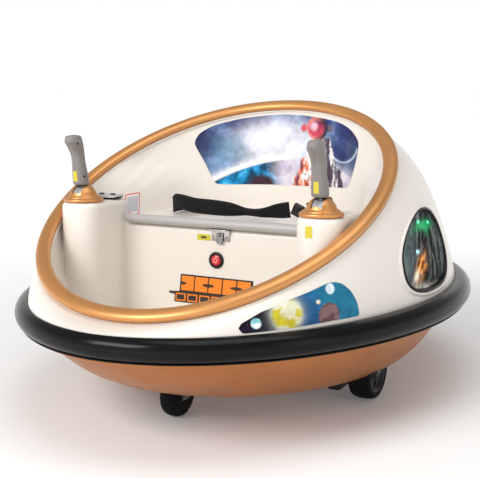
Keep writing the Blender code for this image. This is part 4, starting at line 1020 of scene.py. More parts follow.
def cloudiness(x, z, scale, seed):
    return 0.5 + 0.5 * noise.fractal(Vector((x * scale, seed, z * scale)), 0.9, 2.1, 5)


def paint_back(x, z):
    """A planet's bright limb under drifting cloud, and a plain space suit seen from the front."""
    veil = cloudiness(x, z, 15.0, 3.1)
    fine = cloudiness(x, z, 60.0, 6.6)
    colour = blend_colour((0.030, 0.045, 0.160), (0.19, 0.30, 0.50), ease(0.30, 0.72, veil))
    middle = 1 - ease(0.02, 0.125, hypot((x + 0.024) * 0.95, (z - 0.424) * 1.7))
    colour = blend_colour(colour, (0.82, 0.80, 0.84), min(1.0, middle * 1.25) * (0.55 + 0.45 * veil))
    teal = 1 - ease(0.008, 0.055, hypot(x + 0.118, (z - 0.412) * 1.3))
    colour = blend_colour(colour, (0.17, 0.38, 0.50), teal * 0.65 * (0.5 + fine * 0.5))
    corner = max(ease(-0.128, -0.180, x - 0.2 * (z - 0.43)), ease(0.105, 0.150, x) * 0.75)
    colour = blend_colour(colour, (0.016, 0.014, 0.060), min(0.93, corner * 0.95))
    reach = hypot(x - 0.02, z - 0.0745)
    away = reach - 0.3195
    fading = ease(0.030, -0.050, x)
    glow = exp(-(away / (0.011 if away > 0 else 0.003)) ** 2)
    colour = blend_colour(colour, (0.95, 0.94, 0.95), min(1.0, glow * 1.1) * (0.25 + 0.75 * fading))
    if away < 0.001:
        sea = cloudiness(x, z, 34.0, 8.4)
        planet = blend_colour((0.005, 0.050, 0.110), (0.012, 0.260, 0.560), ease(0.36, 0.62, sea))
        planet = blend_colour(planet, (0.10, 0.58, 0.86), ease(0.60, 0.72, sea) * 0.7)
        haze = ease(-0.050, 0.000, x)
        pink = blend_colour((0.50, 0.42, 0.56), (0.80, 0.70, 0.74), fine)
        planet = blend_colour(planet, pink, haze * 0.92)
        land = 1 - ease(0.010, 0.021, hypot((x + 0.052) * 0.62, z - 0.3455))
        planet = blend_colour(planet, (0.045, 0.020, 0.030), land)
        colour = blend_colour(colour, planet, ease(0.001, -0.0035, away))
    arc = abs(hypot(x - 0.126, z - 0.428) - 0.036)
    if z < 0.420 and x > 0.100:
        colour = blend_colour(colour, (0.62, 0.74, 0.84), (1 - ease(0.0, 0.0028, arc)) * 0.8)
    return paint_suit(x, z, colour)


def paint_suit(x, z, colour):
    """A plain suit with folds, two ear pieces, and a round helmet whose visor shows no face."""
    fold = cloudiness(x * 1.5, z * 0.42, 75.0, 1.7)
    crease = cloudiness(x, z, 140.0, 4.9)
    width = 0.021 + (0.437 - z) * 0.44
    ragged = (cloudiness(x, z, 60.0, 9.9) - 0.5) * 0.010
    if z < 0.437 and abs(x - 0.0705) < width + ragged:
        lit = ease(0.082, 0.046, x)
        cloth = blend_colour((0.16, 0.15, 0.19), (0.86, 0.20, 0.10), lit)
        cloth = blend_colour(cloth, (0.90, 0.84, 0.84), ease(0.50, 0.64, fold) * 0.9)
        cloth = blend_colour(cloth, (0.045, 0.022, 0.045), ease(0.46, 0.34, fold) * 0.85)
        cloth = blend_colour(cloth, (0.05, 0.03, 0.05), ease(0.40, 0.28, crease) * 0.6)
        edge = ease(width + ragged, width + ragged - 0.003, abs(x - 0.0705))
        colour = blend_colour(colour, cloth, edge)
    for side in (-1, 1):
        ear = hypot((x - 0.0625 - side * 0.0300), (z - 0.4545) * 0.9)
        colour = blend_colour(colour, (0.62, 0.10, 0.11) if side < 0 else (0.12, 0.09, 0.12),
                              1 - ease(0.0055, 0.0075, ear))
    shell = hypot(x - 0.0625, (z - 0.4545) * 1.06)
    tone = blend_colour((0.055, 0.030, 0.055), (0.66, 0.20, 0.18), ease(0.080, 0.046, x))
    colour = blend_colour(colour, tone, 1 - ease(0.0232, 0.0248, shell))
    visor = hypot((x - 0.0610) * 1.0, (z - 0.4530) * 1.15)
    tint = blend_colour((0.13, 0.012, 0.050), (0.50, 0.055, 0.095), ease(0.474, 0.440, z))
    tint = blend_colour(tint, (0.86, 0.50, 0.62), 1 - ease(0.002, 0.013, hypot(x - 0.0545, z - 0.458)))
    return blend_colour(colour, tint, 1 - ease(0.0165, 0.0185, visor))


DOME_STRETCH = 30.0               # dome t to the same step as a degree
# Each world's place, radius, colour, the colour of its patches, and how soft its edge is.
PLANETS = [((0.2316, -0.3586, 0.2097), 0.0275, (0.74, 0.73, 0.56), (0.60, 0.52, 0.03), 0.0095),
           ((0.2710, -0.3021, 0.2011), 0.0195, (0.13, 0.075, 0.075), (0.24, 0.15, 0.15), 0.0020),
           ((0.2684, -0.2949, 0.2383), 0.0082, (0.80, 0.86, 0.88), (0.62, 0.72, 0.76), 0.0012),
           ((0.2594, -0.3156, 0.2221), 0.0037, (0.85, 0.80, 0.72), (0.60, 0.42, 0.26), 0.0008),
           ((0.2017, -0.3952, 0.2014), 0.0082, (0.86, 0.92, 0.93), (0.25, 0.58, 0.62), 0.0016)]


def paint_front(angle, stretched):
    """Deep blue space with a glowing yellow world, a brown one and three small moons."""
    place = dome_point(radians(angle), stretched / DOME_STRETCH)
    veil = cloudiness(place.x + place.y, place.z, 22.0, 5.3)
    along_it = ease(-56.0, -32.0, angle)
    colour = blend_colour((0.014, 0.008, 0.024), (0.010, 0.085, 0.240), ease(0.15, 0.58, along_it))
    colour = blend_colour(colour, (0.02, 0.26, 0.38), ease(0.55, 1.0, along_it) * (0.35 + 0.65 * veil))
    for centre, radius, tone, patch, soft in PLANETS:
        near = (place - Vector(centre)).length
        mottled = cloudiness(place.x * 1.3, place.z * 1.3, 1.1 / radius, radius * 90)
        face = blend_colour(tone, patch, ease(0.42, 0.62, mottled))
        if radius > 0.02:
            glow = exp(-max(0.0, near - radius * 0.9) / 0.005)
            colour = blend_colour(colour, (0.42, 0.46, 0.42), glow * 0.75)
        colour = blend_colour(colour, face, 1 - ease(radius - soft, radius, near))
    return tuple(channel ** 1.12 for channel in colour)


def dome_surface(angle, stretched):
    place = (radians(angle), stretched / DOME_STRETCH)
    return dome_point(*place), dome_normal(*place)


def ray_onto(tree, origin, direction):
    """Where a ray meets the tub, and the normal that faces the ray."""
    hit, normal, _, _ = tree.ray_cast(Vector(origin), Vector(direction))
    if hit is None:
        raise ValueError(f"no wall at {origin}")
    return hit, normal if normal.dot(Vector(direction)) < 0 else -normal


def make_back_picture(tree):
    def back_wall(x, z):
        return ray_onto(tree, (x, -0.05, z), (0, 1, 0))

    outline = mm((-179.5, 426.5), (-171, 444.5), (-146.5, 459.5), (-101, 471.6), (-52, 478.2),
                 (-10.5, 480.7),
                 (33, 478.6), (79, 472.6), (115, 466.2), (143.5, 453), (161.6, 435.1), (164.4, 424.4),
                 (159.4, 398.7), (145.5, 351), (137, 345.5), (91.1, 343.7), (39, 343), (-47.3, 342.5),
                 (-135, 340.8), (-144, 345), (-161, 384.8), (-176.5, 414.7))
    spacing = 0.0017
    film("sticker_back", rounded(outline, 0.0140, 4), back_wall, "print_back", spacing, paint=paint_back)


def make_front_picture():
    outline = [(-56.2, 0.02), (-56.9, 0.15), (-56.0, 0.262), (-51.5, 0.446), (-44.2, 0.539), (-38.8, 0.546),
               (-35.2, 0.560), (-33.2, 0.530), (-31.9, 0.450), (-30.9, 0.31), (-30.5, 0.158), (-30.8, 0.030),
               (-37.8, 0.036), (-46.5, 0.032)]
    outline = rounded([(angle, t * DOME_STRETCH) for angle, t in outline], 0.9)
    spacing = 0.24
    film("sticker_front", outline, dome_surface, "print_front", spacing, paint=paint_front)


def make_labels(tree):
    """Plain panels: yellow on the riser and a pod, and a white one with a red border on the tub's wall."""
    def side_wall(y, z):
        return ray_onto(tree, (-0.05, y, z), (-1, 0, 0))

    def pod_wall(turn, z):
        out = Vector((cos(turn), sin(turn), 0.0))
        return Vector((POD_X + POD_RADIUS * cos(turn), POD_Y + POD_RADIUS * sin(turn), z)), out

    label = rounded(oblong(-0.0367, 0.2688, -0.0107, 0.2792), 0.001, 2)
    film("label_riser", label, riser_surface, "yellow", 0.004)
    mark = rounded(oblong(-0.0290, 0.2722, -0.0180, 0.2758), 0.0005, 2)
    film("label_riser_mark", mark, riser_surface, "ink", 0.004, rise=0.0008)
    border = mm((-73, 329.8), (-46.5, 333.3), (-53.5, 291.2), (-81.5, 290.7))
    middle = Vector((-0.0636, 0.3112))
    white = [middle + (Vector(point) - middle) * 0.90 for point in border]
    block = [middle + Vector(((point.x - middle.x) * 0.86, (point.y - middle.y) * 0.80)) for point in white]
    film("label_border", rounded(border, 0.004), side_wall, "label_red", 0.004)
    film("label_white", rounded(white, 0.003), side_wall, "label", 0.004, rise=0.00085)
    film("label_block", rounded(block, 0.001, 2), side_wall, "label_grey", 0.004, rise=0.0011)
    film("label_pod", oblong(-1.845, 0.3036, -1.53, 0.3212), pod_wall, "yellow", 0.05, rise=0.0007)


def riser_surface(x, z):
    return Vector((x, RISER_Y, z)), Vector((0.0, -1.0, 0.0))


def make_motif():
    """A generic speed badge in orange on black: notched blocks over a row of open frames and a trail."""
    def badge(name, outline, radius, material, rise):
        leaning = [(x + (z - 0.170) * 0.10, z) for x, z in outline]
        film(name, rounded(leaning, radius), riser_surface, material, 0.01, rise=rise)

    plate = mm((-74.5, 206.2), (69, 206.2), (69, 174.5), (40, 172.5), (40, 155.5), (-84, 155.5), (-84, 169),
               (-96, 170), (-96, 174), (-74.5, 175))
    badge("badge_plate", plate, 0.002, "ink", 0.0006)
    for i in range(5):
        low, high = -0.0715 + 0.0277 * i, -0.0715 + 0.0277 * i + 0.0252
        notch = high - 0.0100 if i % 2 else low + 0.0100
        edge, other = (high, low) if i % 2 else (low, high)
        shape = [(edge, 0.1775), (edge, 0.1868), (notch, 0.1885), (notch, 0.1915), (edge, 0.1930),
                 (edge, 0.2035), (other, 0.2035), (other, 0.1775)]
        badge(f"badge_block_{i}", shape, 0.0010, "orange", 0.0009)
    for i in range(5):
        low, high = -0.0815 + 0.0240 * i, -0.0815 + 0.0240 * i + 0.0205
        for inset, material, rise in ((0.0, "orange", 0.0009), (0.0024, "ink", 0.0012)):
            shape = oblong(low + inset, 0.1580 + inset, high - inset, 0.1718 - inset)
            badge(f"badge_frame_{i}_{material}", shape, 0.0012, material, rise)


# ---------------------------------------------------------------- lamps

def make_diode(name, place, radius, height, material):
    dome = [(radius * sin(pi / 2 * i / 8), height * cos(pi / 2 * i / 8)) for i in range(1, 9)]
    add_piece(name, turned(name, [(0.0, height)] + dome + [(radius, -0.002), (0.0, -0.002)], place, 24),
              material)


def lamp_frame(side, across, upward, lift):
    angle = LAMP_ANGLE + LAMP_ANGLE_SPAN * across
    normal = dome_normal(pi - angle if side < 0 else angle, LAMP_T + LAMP_T_SPAN * upward)
    return place_at(lamp_patch(side, across, upward, lift), normal)


def paint_lamp_reflections(across, upward):
    """The unlit bowl's painted reflections: grey streaks, a painted green glow high up and painted warm
    light low at the front, all leaning.
    """
    p = 0.861 * across - 0.429 * upward - 0.050
    q = 0.369 * across + 0.968 * upward + 0.193
    streak = cloudiness(p * 0.9, q * 0.15, 9.0, 2.2)
    fine = cloudiness(p * 1.3, q * 0.5, 12.0, 7.7)
    # Painted reflections: grey streaks over black, and a grey-teal left side.
    colour = blend_colour((0.003, 0.004, 0.004), (0.17, 0.19, 0.19), ease(0.50, 0.74, streak) * 0.65)
    colour = blend_colour(colour, (0.09, 0.12, 0.12), ease(-0.25, -0.70, p) * (0.25 + 0.75 * fine))
    # Painted glow: the diodes' green light high up in the bowl, running down in a narrow band.
    glow = exp(-((q - 0.72) / 0.14) ** 2) * exp(-((p - 0.02) / 0.45) ** 2)
    tail = exp(-((p - 0.16) / 0.10) ** 2) * ease(0.28, 0.66, q) * (1 - ease(0.72, 0.85, q))
    colour = blend_colour(colour, (0.02, 0.42, 0.14), min(0.95, glow + tail * 0.8) * (0.6 + 0.4 * streak))
    # Painted warm light low at the front, with a pale painted hot core.
    warm = exp(-((p + 0.15) / 0.17) ** 2) * exp(-((q + 0.36) / 0.27) ** 2)
    warm_light_colour = blend_colour((0.13, 0.026, 0.006), (0.80, 0.32, 0.06), ease(0.46, 0.60, fine))
    colour = blend_colour(colour, warm_light_colour, min(1.0, warm * 1.4))
    core = exp(-((p + 0.27) / 0.09) ** 2) * exp(-((q + 0.56) / 0.13) ** 2)
    colour = blend_colour(colour, (0.85, 0.76, 0.60), core * 0.9)
    # Painted reflection: a pale band along the bottom of the bowl.
    base = ease(-0.64, -0.84, q + 0.16 * (fine - 0.5))
    pale = blend_colour((0.15, 0.13, 0.11), (0.60, 0.55, 0.49), ease(0.42, 0.60, fine))
    colour = blend_colour(colour, pale, base * 0.95)
    # Painted highlight: a small cyan spot.
    spot = exp(-(((p + 0.35) / 0.07) ** 2 + (q / 0.045) ** 2))
    return blend_colour(colour, (0.50, 0.82, 0.86), spot)


def reflector_lift(reach):
    """How deep the reflector's bowl is behind the dome, from its middle to its edge."""
    return -0.0030 - 0.0068 * (1 - (min(reach, 0.975) / 0.975) ** 3)


def lamp_band(name, side, section, material, *replaced, slot="", sharp=50.0):
    """A closed section of reach and lift carried round the lamp."""
    rows = [[lamp_point(side, turn, reach, lift) for reach, lift in section] for turn in angles(128)]
    add_piece(name, lofted(name, rows, True), material, *replaced, slot=slot, sharp=sharp)


def make_reflector(side, word):
    """A fluted bowl with its back, painted point by point with its painted reflections and glow."""
    rows, colours = [], []
    reaches = [0.02 + 0.955 * k / 25 for k in range(26)]
    levels = [(reach, reflector_lift(reach)) for reach in reaches]
    levels += [(0.985, -0.0050), (0.90, -0.0095), (0.70, -0.0125), (0.40, -0.0130), (0.02, -0.0132)]
    for reach, lift in levels:
        flute = 0.0004 * sin(pi * min(1.0, reach)) if reach < 0.97 and lift > -0.0100 else 0.0
        row = []
        for turn in angles(180):
            row.append(lamp_point(side, turn, reach, lift + flute * cos(12 * turn)))
            across = cos(turn) * reach + LAMP_DRAW * (lift + 0.0030)
            # Each point takes its painted reflection colour.
            colours.append(paint_lamp_reflections(across, sin(turn) * reach))
        rows.append(row)
    mesh = lofted("reflector", rows)
    paint_points(mesh, colours)
    add_piece(f"reflector_{word}", mesh, "chrome", f"lamp_reflector_{word}", sharp=60.0)


def make_lamp(side, word):
    gasket = ((1.060, -0.0040), (1.060, 0.0010), (1.052, 0.0022), (1.038, 0.0027), (1.020, 0.0025),
              (1.008, 0.0017), (1.005, 0.0008), (1.005, -0.0040))
    lamp_band(f"gasket_{word}", side, gasket, "gasket", f"lamp_gasket_{word}", slot="black_rubber")
    surround = ((1.072, -0.0005), (1.075, 0.0014), (1.088, 0.0026), (1.105, 0.0029), (1.128, 0.0022),
                (1.155, 0.0007), (1.165, -0.0005))
    lamp_band(f"surround_{word}", side, surround, "cream", sharp=60.0)
    layers = [(reach, 0.0012 + 0.0042 * (1 - (reach / 0.985) ** 2))
              for reach in (0.12, 0.3, 0.5, 0.7, 0.85, 0.95, 0.985)]
    layers += [(reach, lift - 0.0022) for reach, lift in reversed(layers)]
    rows = [lamp_ring(side, reach, lift) for reach, lift in layers]
    add_piece(f"lens_{word}", lofted("lens", rows), "lens", f"lamp_lens_{word}", sharp=50.0)
    make_reflector(side, word)
    for i, (across, upward, colour, size) in enumerate(
            ((0.20, 0.67, "green", 0.0028), (0.67, 0.37, "green", 0.0028), (-0.25, -0.03, "cyan", 0.0018))):
        lift = reflector_lift(hypot(across, upward)) + 0.0002
        make_diode(f"led_{word}_{i}", lamp_frame(side, across, upward, lift), size, size * 0.6, colour)


# ---------------------------------------------------------------- sticks

# The grip's rows: height, forward shift, and half sizes across and fore and aft.
GRIP_ROWS = mm((0, 0, 11.2, 12.8), (4, 0, 13, 14.8), (18, 0, 12.6, 14.2), (36, 0.5, 11.2, 12.6),
               (52, 1, 11.2, 12.8),
               (64, 4, 12.2, 15.6), (74, 7.5, 12.6, 18.6), (82, 7, 11.2, 16.6), (86, 5.5, 7.4, 11))
GRIP_FINE = smooth_path(GRIP_ROWS, 5)
GRIP_TURNS = [radians(-90 + 7.5 * i) for i in range(25)]


def grip_row(height):
    """The grip's forward shift and half sizes at a height."""
    for low, high in zip(GRIP_FINE, GRIP_FINE[1:]):
        if low[0] <= height <= high[0]:
            share = (height - low[0]) / max(1e-9, high[0] - low[0])
            return [p + (q - p) * share for p, q in zip(low, high)][1:]
    return list(GRIP_FINE[-1][1:])


def grip_point(side, half, height, turn, seam=0.0, share=1.0, rise=0.0):
    """A point of a half grip's skin; share draws it in and rise lifts it, for the rounded top."""
    forward, half_x, half_y = grip_row(height)
    lean = tan(GRIP_LEAN) * height
    return Vector((side * POD_X + half * (half_x * share * cos(turn) + seam),
                   POD_Y - GRIP_FORWARD - lean - forward + half_y * share * sin(turn),
                   STICK_Z + GRIP_BOTTOM + height + rise))


def grip_surface(side, half):
    def surface(turn, height):
        step = 0.01
        here = grip_point(side, half, height, turn)
        around = grip_point(side, half, height, turn + step) - grip_point(side, half, height, turn - step)
        upward = grip_point(side, half, height + 0.001, turn) - grip_point(side, half, height - 0.001, turn)
        normal = around.cross(upward).normalized() * half
        return here, normal
    return surface


def seam_surface(side):
    """The front of the grip across its seam: the turn runs from one half onto the other."""
    halves = {1: grip_surface(side, 1), -1: grip_surface(side, -1)}

    def surface(turn, height):
        half = 1 if turn >= 0 else -1
        return halves[half](-pi / 2 + abs(turn), height)
    return surface


def make_handle(side, word):
    """Two half shells that meet at a fine seam, with a rounded top."""
    heights = [height for height in sorted({round(row[0], 5) for row in GRIP_FINE})
               if height < GRIP_HEIGHT - 0.001]
    for half, half_word in ((side, "outer"), (-side, "inner")):
        rows = []
        for height in heights:
            row = [grip_point(side, half, height, turn, GAP / 2) for turn in GRIP_TURNS]
            row[0].y += 0.00035
            row[-1].y -= 0.00035
            rows.append(row)
        for share, rise in ((0.85, -0.0011), (0.6, -0.0003), (0.25, 0.0001)):
            rows.append([grip_point(side, half, GRIP_HEIGHT, turn, GAP / 2, share, rise)
                         for turn in GRIP_TURNS])
        node = f"grip_{half_word}_{word}"
        add_piece(f"handle_{half_word}_{word}", lofted(node, rows), "grip", node, body=f"stick_{word}",
                  sharp=50.0)


def make_grip(side, word):
    """The handle, its two screws, its label, and the core with its drum, neck and lever below."""
    body = f"stick_{word}"
    make_handle(side, word)
    surface = grip_surface(side, -side)
    ring = mm((3, -3), (3, 0.3), (2.7, 0.6), (2.2, 0.6), (2.1, -3))
    head = mm((0, 0.2), (0.6, 0.2), (0.7, 0.4), (1.7, 0.4), (2.1, 0.2), (2.1, -3), (0, -3))
    for i, height in enumerate((0.0715, 0.0150)):
        place = place_at(*surface(radians(-20), height))
        add_piece(f"screw_rim_{word}_{i}", turned("screw_rim", ring, place, 28, True), "grip", body=body)
        add_piece(f"screw_head_{word}_{i}", turned("screw_head", head, place, 20), "gasket", body=body)
    label = oblong(-0.32, 0.0065, 0.32, 0.0240)
    film(f"label_grip_{word}", label, seam_surface(side), "yellow", 0.08, body, "grey_plastic", 0.00045,
         0.0004)
    collar = mm((5.4, 20.7), (8, 20.8), (9.2, 21.2), (9.4, 22.2), (9, 23.1), (5.4, 23.3))
    centre = Vector((side * POD_X, POD_Y, STICK_Z))
    place = Matrix.Translation(centre)
    add_piece(f"collar_{word}", turned("collar", collar, place, 40, True), "gasket", body=body)
    drum = mm((0, 8.5), (19.2, 8.5), (20.1, 8.1), (20.5, 7.2), (20.5, 1.8), (19.9, 1.2))
    parts = [turned("drum", mirrored(drum), along("X", centre), 72),
             turned("neck", [(0.0052, 0.0190), (0.0052, 0.0230)], place, 32),
             box_mesh("lever", centre - Vector((0.004, 0.004, 0.034)),
                      centre + Vector((0.004, 0.004, -0.0195)),
                      0.0008)]
    add_piece(f"drum_{word}", merged("drum", parts), "drum", f"stick_core_{word}", body=body)


def make_stick_base(side, word):
    """The copper cover: a ball over a stepped foot, slotted for the drum and grooved on both sides."""
    ball = 0.0243
    centre = STICK_Z - POD_TOP_Z - GAP
    profile = [(ball * sin(radians(a)), centre + ball * cos(radians(a))) for a in range(0, 79, 6)]
    profile += mm((24.3, 9.6), (26.2, 9.3), (27.7, 8.7), (28.6, 7.6), (28.9, 6.4), (30, 6), (32.2, 5.6),
                  (33.8, 4.5), (34.5, 2.8), (34.3, 1), (33.8, 0), (0, 0))
    x = side * POD_X
    base = turned("base", profile, Matrix.Translation((x, POD_Y, POD_TOP_Z + GAP)), 96)
    slot_half = DRUM_HALF_WIDTH + 0.0008
    slot = box_mesh("slot", (x - slot_half, POD_Y - 0.0218, POD_TOP_Z - 0.01),
                    (x + slot_half, POD_Y + 0.0218, POD_TOP_Z + 0.05))
    arc = [radians(a) for a in range(-112, 113, 7)]
    outline = [(0.0202, turn) for turn in arc] + [(0.0290, turn) for turn in reversed(arc)]
    grooves = []
    for sign in (1, -1):
        levels = sorted((x + sign * 0.0120, x + sign * 0.0127))
        rows = [[Vector((level, POD_Y + radius * sin(turn), STICK_Z + radius * cos(turn)))
                 for radius, turn in outline] for level in levels]
        grooves.append(lofted("groove", rows))
    thing = helper("base", cut(cut(base, [slot]), grooves))
    soften(thing, 0.0004, 40.0)
    add_piece(f"stick_cover_{word}", baked(thing), "copper", f"stick_base_{word}", sharp=30.0)


def soften(thing, width, limit=35.0, segments=2):
    edge = thing.modifiers.new("soften", "BEVEL")
    edge.width = width
    edge.segments = segments
    edge.limit_method = "ANGLE"
    edge.angle_limit = radians(limit)
    edge.harden_normals = False


# ---------------------------------------------------------------- controls

def slab(name, half_x, half_y, radius, levels, place):
    """A plate with rounded corners and a soft edge: levels are (inset, height)."""
    rows = []
    for inset, height in levels:
        x, y = half_x - inset, half_y - inset
        outline = rounded(oblong(-x, -y, x, y), radius - inset, 8)
        rows.append([place @ Vector((point.x, point.y, height)) for point in outline])
    return lofted(name, rows)


def make_panel():
    """The button panel on its dark seal and foot, with its two round keys."""
    place = Matrix.Translation((PANEL_X, PANEL_Y, POD_TOP_Z + 0.0050)) @ Matrix.Rotation(radians(2), 4, "X")
    spots = [place @ Matrix.Translation((shift, 0.0, 0.0)) for shift in (-KEY_SHIFT, KEY_SHIFT)]
    levels = mm((0, -1), (0, 0.8), (0.3, 1.5), (1, 1.9), (2, 2))
    plate = slab("panel", 0.0255, 0.0195, 0.0120, levels, place)
    wells = [turned("well", [(0.0056, -0.0002), (0.0056, 0.008)], spot, 36) for spot in spots]
    add_piece("panel", cut(plate, wells), "panel", "button_panel", sharp=30.0)
    edge = mm((0.4, -2.8), (0, -2.4), (0, -1.2), (0.6, -1.1))
    seal = slab("panel_seal", 0.0259, 0.0199, 0.0124, edge, place)
    foot = box_mesh("panel_foot", (PANEL_X - 0.020, PANEL_Y - 0.015, POD_TOP_Z + GAP),
                    (PANEL_X + 0.020, PANEL_Y + 0.015, POD_TOP_Z + 0.0030), 0.0008)
    add_piece("panel_seal", merged("panel_seal", [seal, foot]), "gasket")
    profile = mm((0, 4.6), (2, 4.52), (3.6, 4.3), (4.5, 3.8), (5, 3), (5, 1.6), (0, 1.6))
    for spot, word in zip(spots, ("music", "horn")):
        key = turned(f"{word}_button", profile, spot, 40)
        add_piece(f"key_{word}_button", key, "dots", f"{word}_button", body=f"{word}_key")


def make_power_button():
    """A black bezel in the riser and a red cap with a raised ring and bar."""
    place = along("FRONT", (BUTTON_X, RISER_Y - GAP, BUTTON_Z))
    ring = mm((10.4, 2.9), (12.2, 3), (13.4, 2.6), (14.2, 1.6), (14.4, 0.4), (14.4, -0.3), (11.4, -0.3),
              (11.4, -12), (9.8, -12), (9.8, 2.2))
    add_piece("bezel", turned("bezel", ring, place, 64, True), "black", "power_bezel")
    dome = mm((0, 4.2), (3, 4.1), (5.8, 3.7), (7.8, 3.1), (8.9, 2.4), (9.3, 1.2), (9.3, -10), (0, -10))
    add_piece("power_cap", turned("power_cap", dome, place, 64), "red", "power_button", body="power_key")
    rows = []
    for i in range(33):
        turn = radians(35 + 290 * i / 32)
        rows.append([place @ Vector((radius * sin(turn), radius * cos(turn), lift - radius * 0.05))
                     for radius, lift in mm((3.1, 4.1), (4.1, 4.1), (4.1, 4.45), (3.1, 4.5))])
    bar = box_mesh("bar", (-0.0005, 0.0012, 0.0040), (0.0005, 0.0052, 0.00435), 0.0001, place)
    add_piece("power_symbol", merged("power_symbol", [lofted("arc", rows), bar]), "symbol", body="power_key")


# ---------------------------------------------------------------- seat

def make_seat():
    """The lid as the frame has it, with softened edges, and the grey roll along its front."""
    dress("seat_lid", "cream", 0.0012, 30.0, 3)
    half = ROLL_HALF_LENGTH - 0.0002
    turns = [pi / 2 * i / 8 for i in range(1, 9)]
    profile = [(0.0, -half)] + [(ROLL_RADIUS * sin(turn), -half + 0.006 * (1 - cos(turn))) for turn in turns]
    roll = turned("roll", mirrored(profile), along("X", (0.0, ROLL_Y, ROLL_Z)), 48)
    add_piece("roll", roll, "roll", "seat_roll", body="seat", sharp=60.0)


def webbing_rows(path, seed, twist_at, twist):
    """Nine points across the webbing at each step: on edge where high, with soft waves and one twist."""
    rows, edges = [], []
    for i, point in enumerate(path):
        run = (path[min(i + 1, len(path) - 1)] - path[max(i - 1, 0)]).normalized()
        share = i / (len(path) - 1)
        lean = min(1.0, point.z / BELT_HALF_WIDTH)
        across = Vector((0, 0, 1)) * lean + Vector((-run.y, run.x, 0.0)) * (1 - lean)
        across = (across - run * across.dot(run)).normalized()
        turn = radians(twist) * exp(-((share - twist_at) / 0.10) ** 2)
        across = Matrix.Rotation(turn, 3, run) @ across
        normal = run.cross(across)
        low = 0.0008 + abs(across.z) * BELT_HALF_WIDTH
        middle = Vector((point.x, point.y, SEAT_TOP_Z + GAP + max(point.z, low)))
        middle += normal * noise.noise(Vector((share * 5.0, seed, 0.3))) * 0.0015
        row = []
        for k in range(9):
            u = -1 + k / 4
            cup = 0.0011 * (1 - u * u) + 0.0005 * noise.noise(Vector((share * 9, u * 1.5, seed)))
            row.append(middle + across * BELT_HALF_WIDTH * u + normal * cup)
        rows.append(row)
        edges.append((across, normal))
    return rows, edges


def stitched(path, rows, edges):
    """Short stitches in a line near each edge of the webbing."""
    stitches = []
    for u in (-0.86, 0.86):
        for i in range(3, len(path) - 4, 2):
            across, normal = edges[i]
            place = rows[i][4] + across * BELT_HALF_WIDTH * u * 0.98
            run = (path[i + 1] - path[i]).normalized()
            turn = Matrix((run, across, normal)).transposed().to_4x4()
            stitches.append(box_mesh("stitch", (-0.0011, -0.0003, -0.0011), (0.0011, 0.0003, 0.0011), 0.0002,
                                     Matrix.Translation(place) @ turn, 1))
    return merged("stitches", stitches)


def webbing_piece(name, node, points, seed, twist_at, twist):
    """A strap along a folded route, mapped in millimetres for its weave, with its stitches."""
    path = [Vector(point) for point in smooth_path(points, 12)]
    rows, edges = webbing_rows(path, seed, twist_at, twist)
    lengths = [0.0]
    for here, ahead in zip(path[1:], path[2:]):
        lengths.append(lengths[-1] + (ahead - here).length)
    lengths.append(lengths[-1])
    form = bmesh.new()
    layer = form.loops.layers.uv.new("UVMap")
    made = skin(form, rows, False)
    index = {vert: (i, k) for i, row in enumerate(made) for k, vert in enumerate(row)}
    for face in form.faces:
        for loop in face.loops:
            i, k = index[loop.vert]
            loop[layer].uv = ((k / 8) * BELT_HALF_WIDTH * 2 * 1000, lengths[i] * 1000)
    strap = walled(mesh_of(name, form), 0.0014, 0.0, levels=1)
    add_piece(name, strap, "webbing", node, body="seat", sharp=60.0)
    add_piece(f"{name}_stitches", stitched(path, rows, edges), "thread", body="seat")


def make_belts():
    """Both straps on the lid, and the buckle with its ribbed press."""
    left = mm((-100, 0, 2), (-114, -40, 3), (-124, -76, 11), (-121, -96, 15), (-107, -110, 23.5),
              (-88, -117, 23.5),
              (-62, -120, 19.5), (-24, -118, 17.5), (20, -112, 15), (58, -106, 12), (92, -101, 16.5),
              (113.5, -100, 19.5))
    right = mm((143, -99, 19), (150, -76, 20), (152, -40, 23), (147, -4, 20), (140, 24, 6), (134, 44, 2))
    webbing_piece("strap_left", "belt_left", left, 2.0, 0.80, 62)
    webbing_piece("strap_right", "belt_right", right, 5.0, 0.30, -18)
    place = Matrix.Translation((0.1277, -0.100, SEAT_TOP_Z + 0.0195)) @ Matrix.Rotation(radians(24), 4, "Y")
    shell = box_mesh("buckle", (-0.0095, -0.0046, -0.0105), (0.0095, 0.0046, 0.0105), 0.0024, place)
    well = box_mesh("well", (-0.0060, -0.0060, -0.0045), (0.0060, -0.0034, 0.0065), 0.0010, place)
    mouth = box_mesh("mouth", (-0.0065, -0.0016, 0.0080), (0.0065, 0.0016, 0.0125), 0.0005, place)
    thing = helper("buckle", cut(shell, [well, mouth]))
    soften(thing, 0.0004, 40.0)
    add_piece("buckle", baked(thing), "black", "belt_buckle", body="seat")
    press = [box_mesh("press", (-0.0052, -0.0046, -0.0038), (0.0052, -0.0030, 0.0058), 0.0006, place)]
    for i in range(4):
        low = -0.0024 + 0.0022 * i
        press.append(box_mesh("rib", (-0.0040, -0.0050, low), (0.0040, -0.0040, low + 0.0010), 0.0002,
                              place))
    add_piece("buckle_press", merged("press", press), "gasket", body="seat")


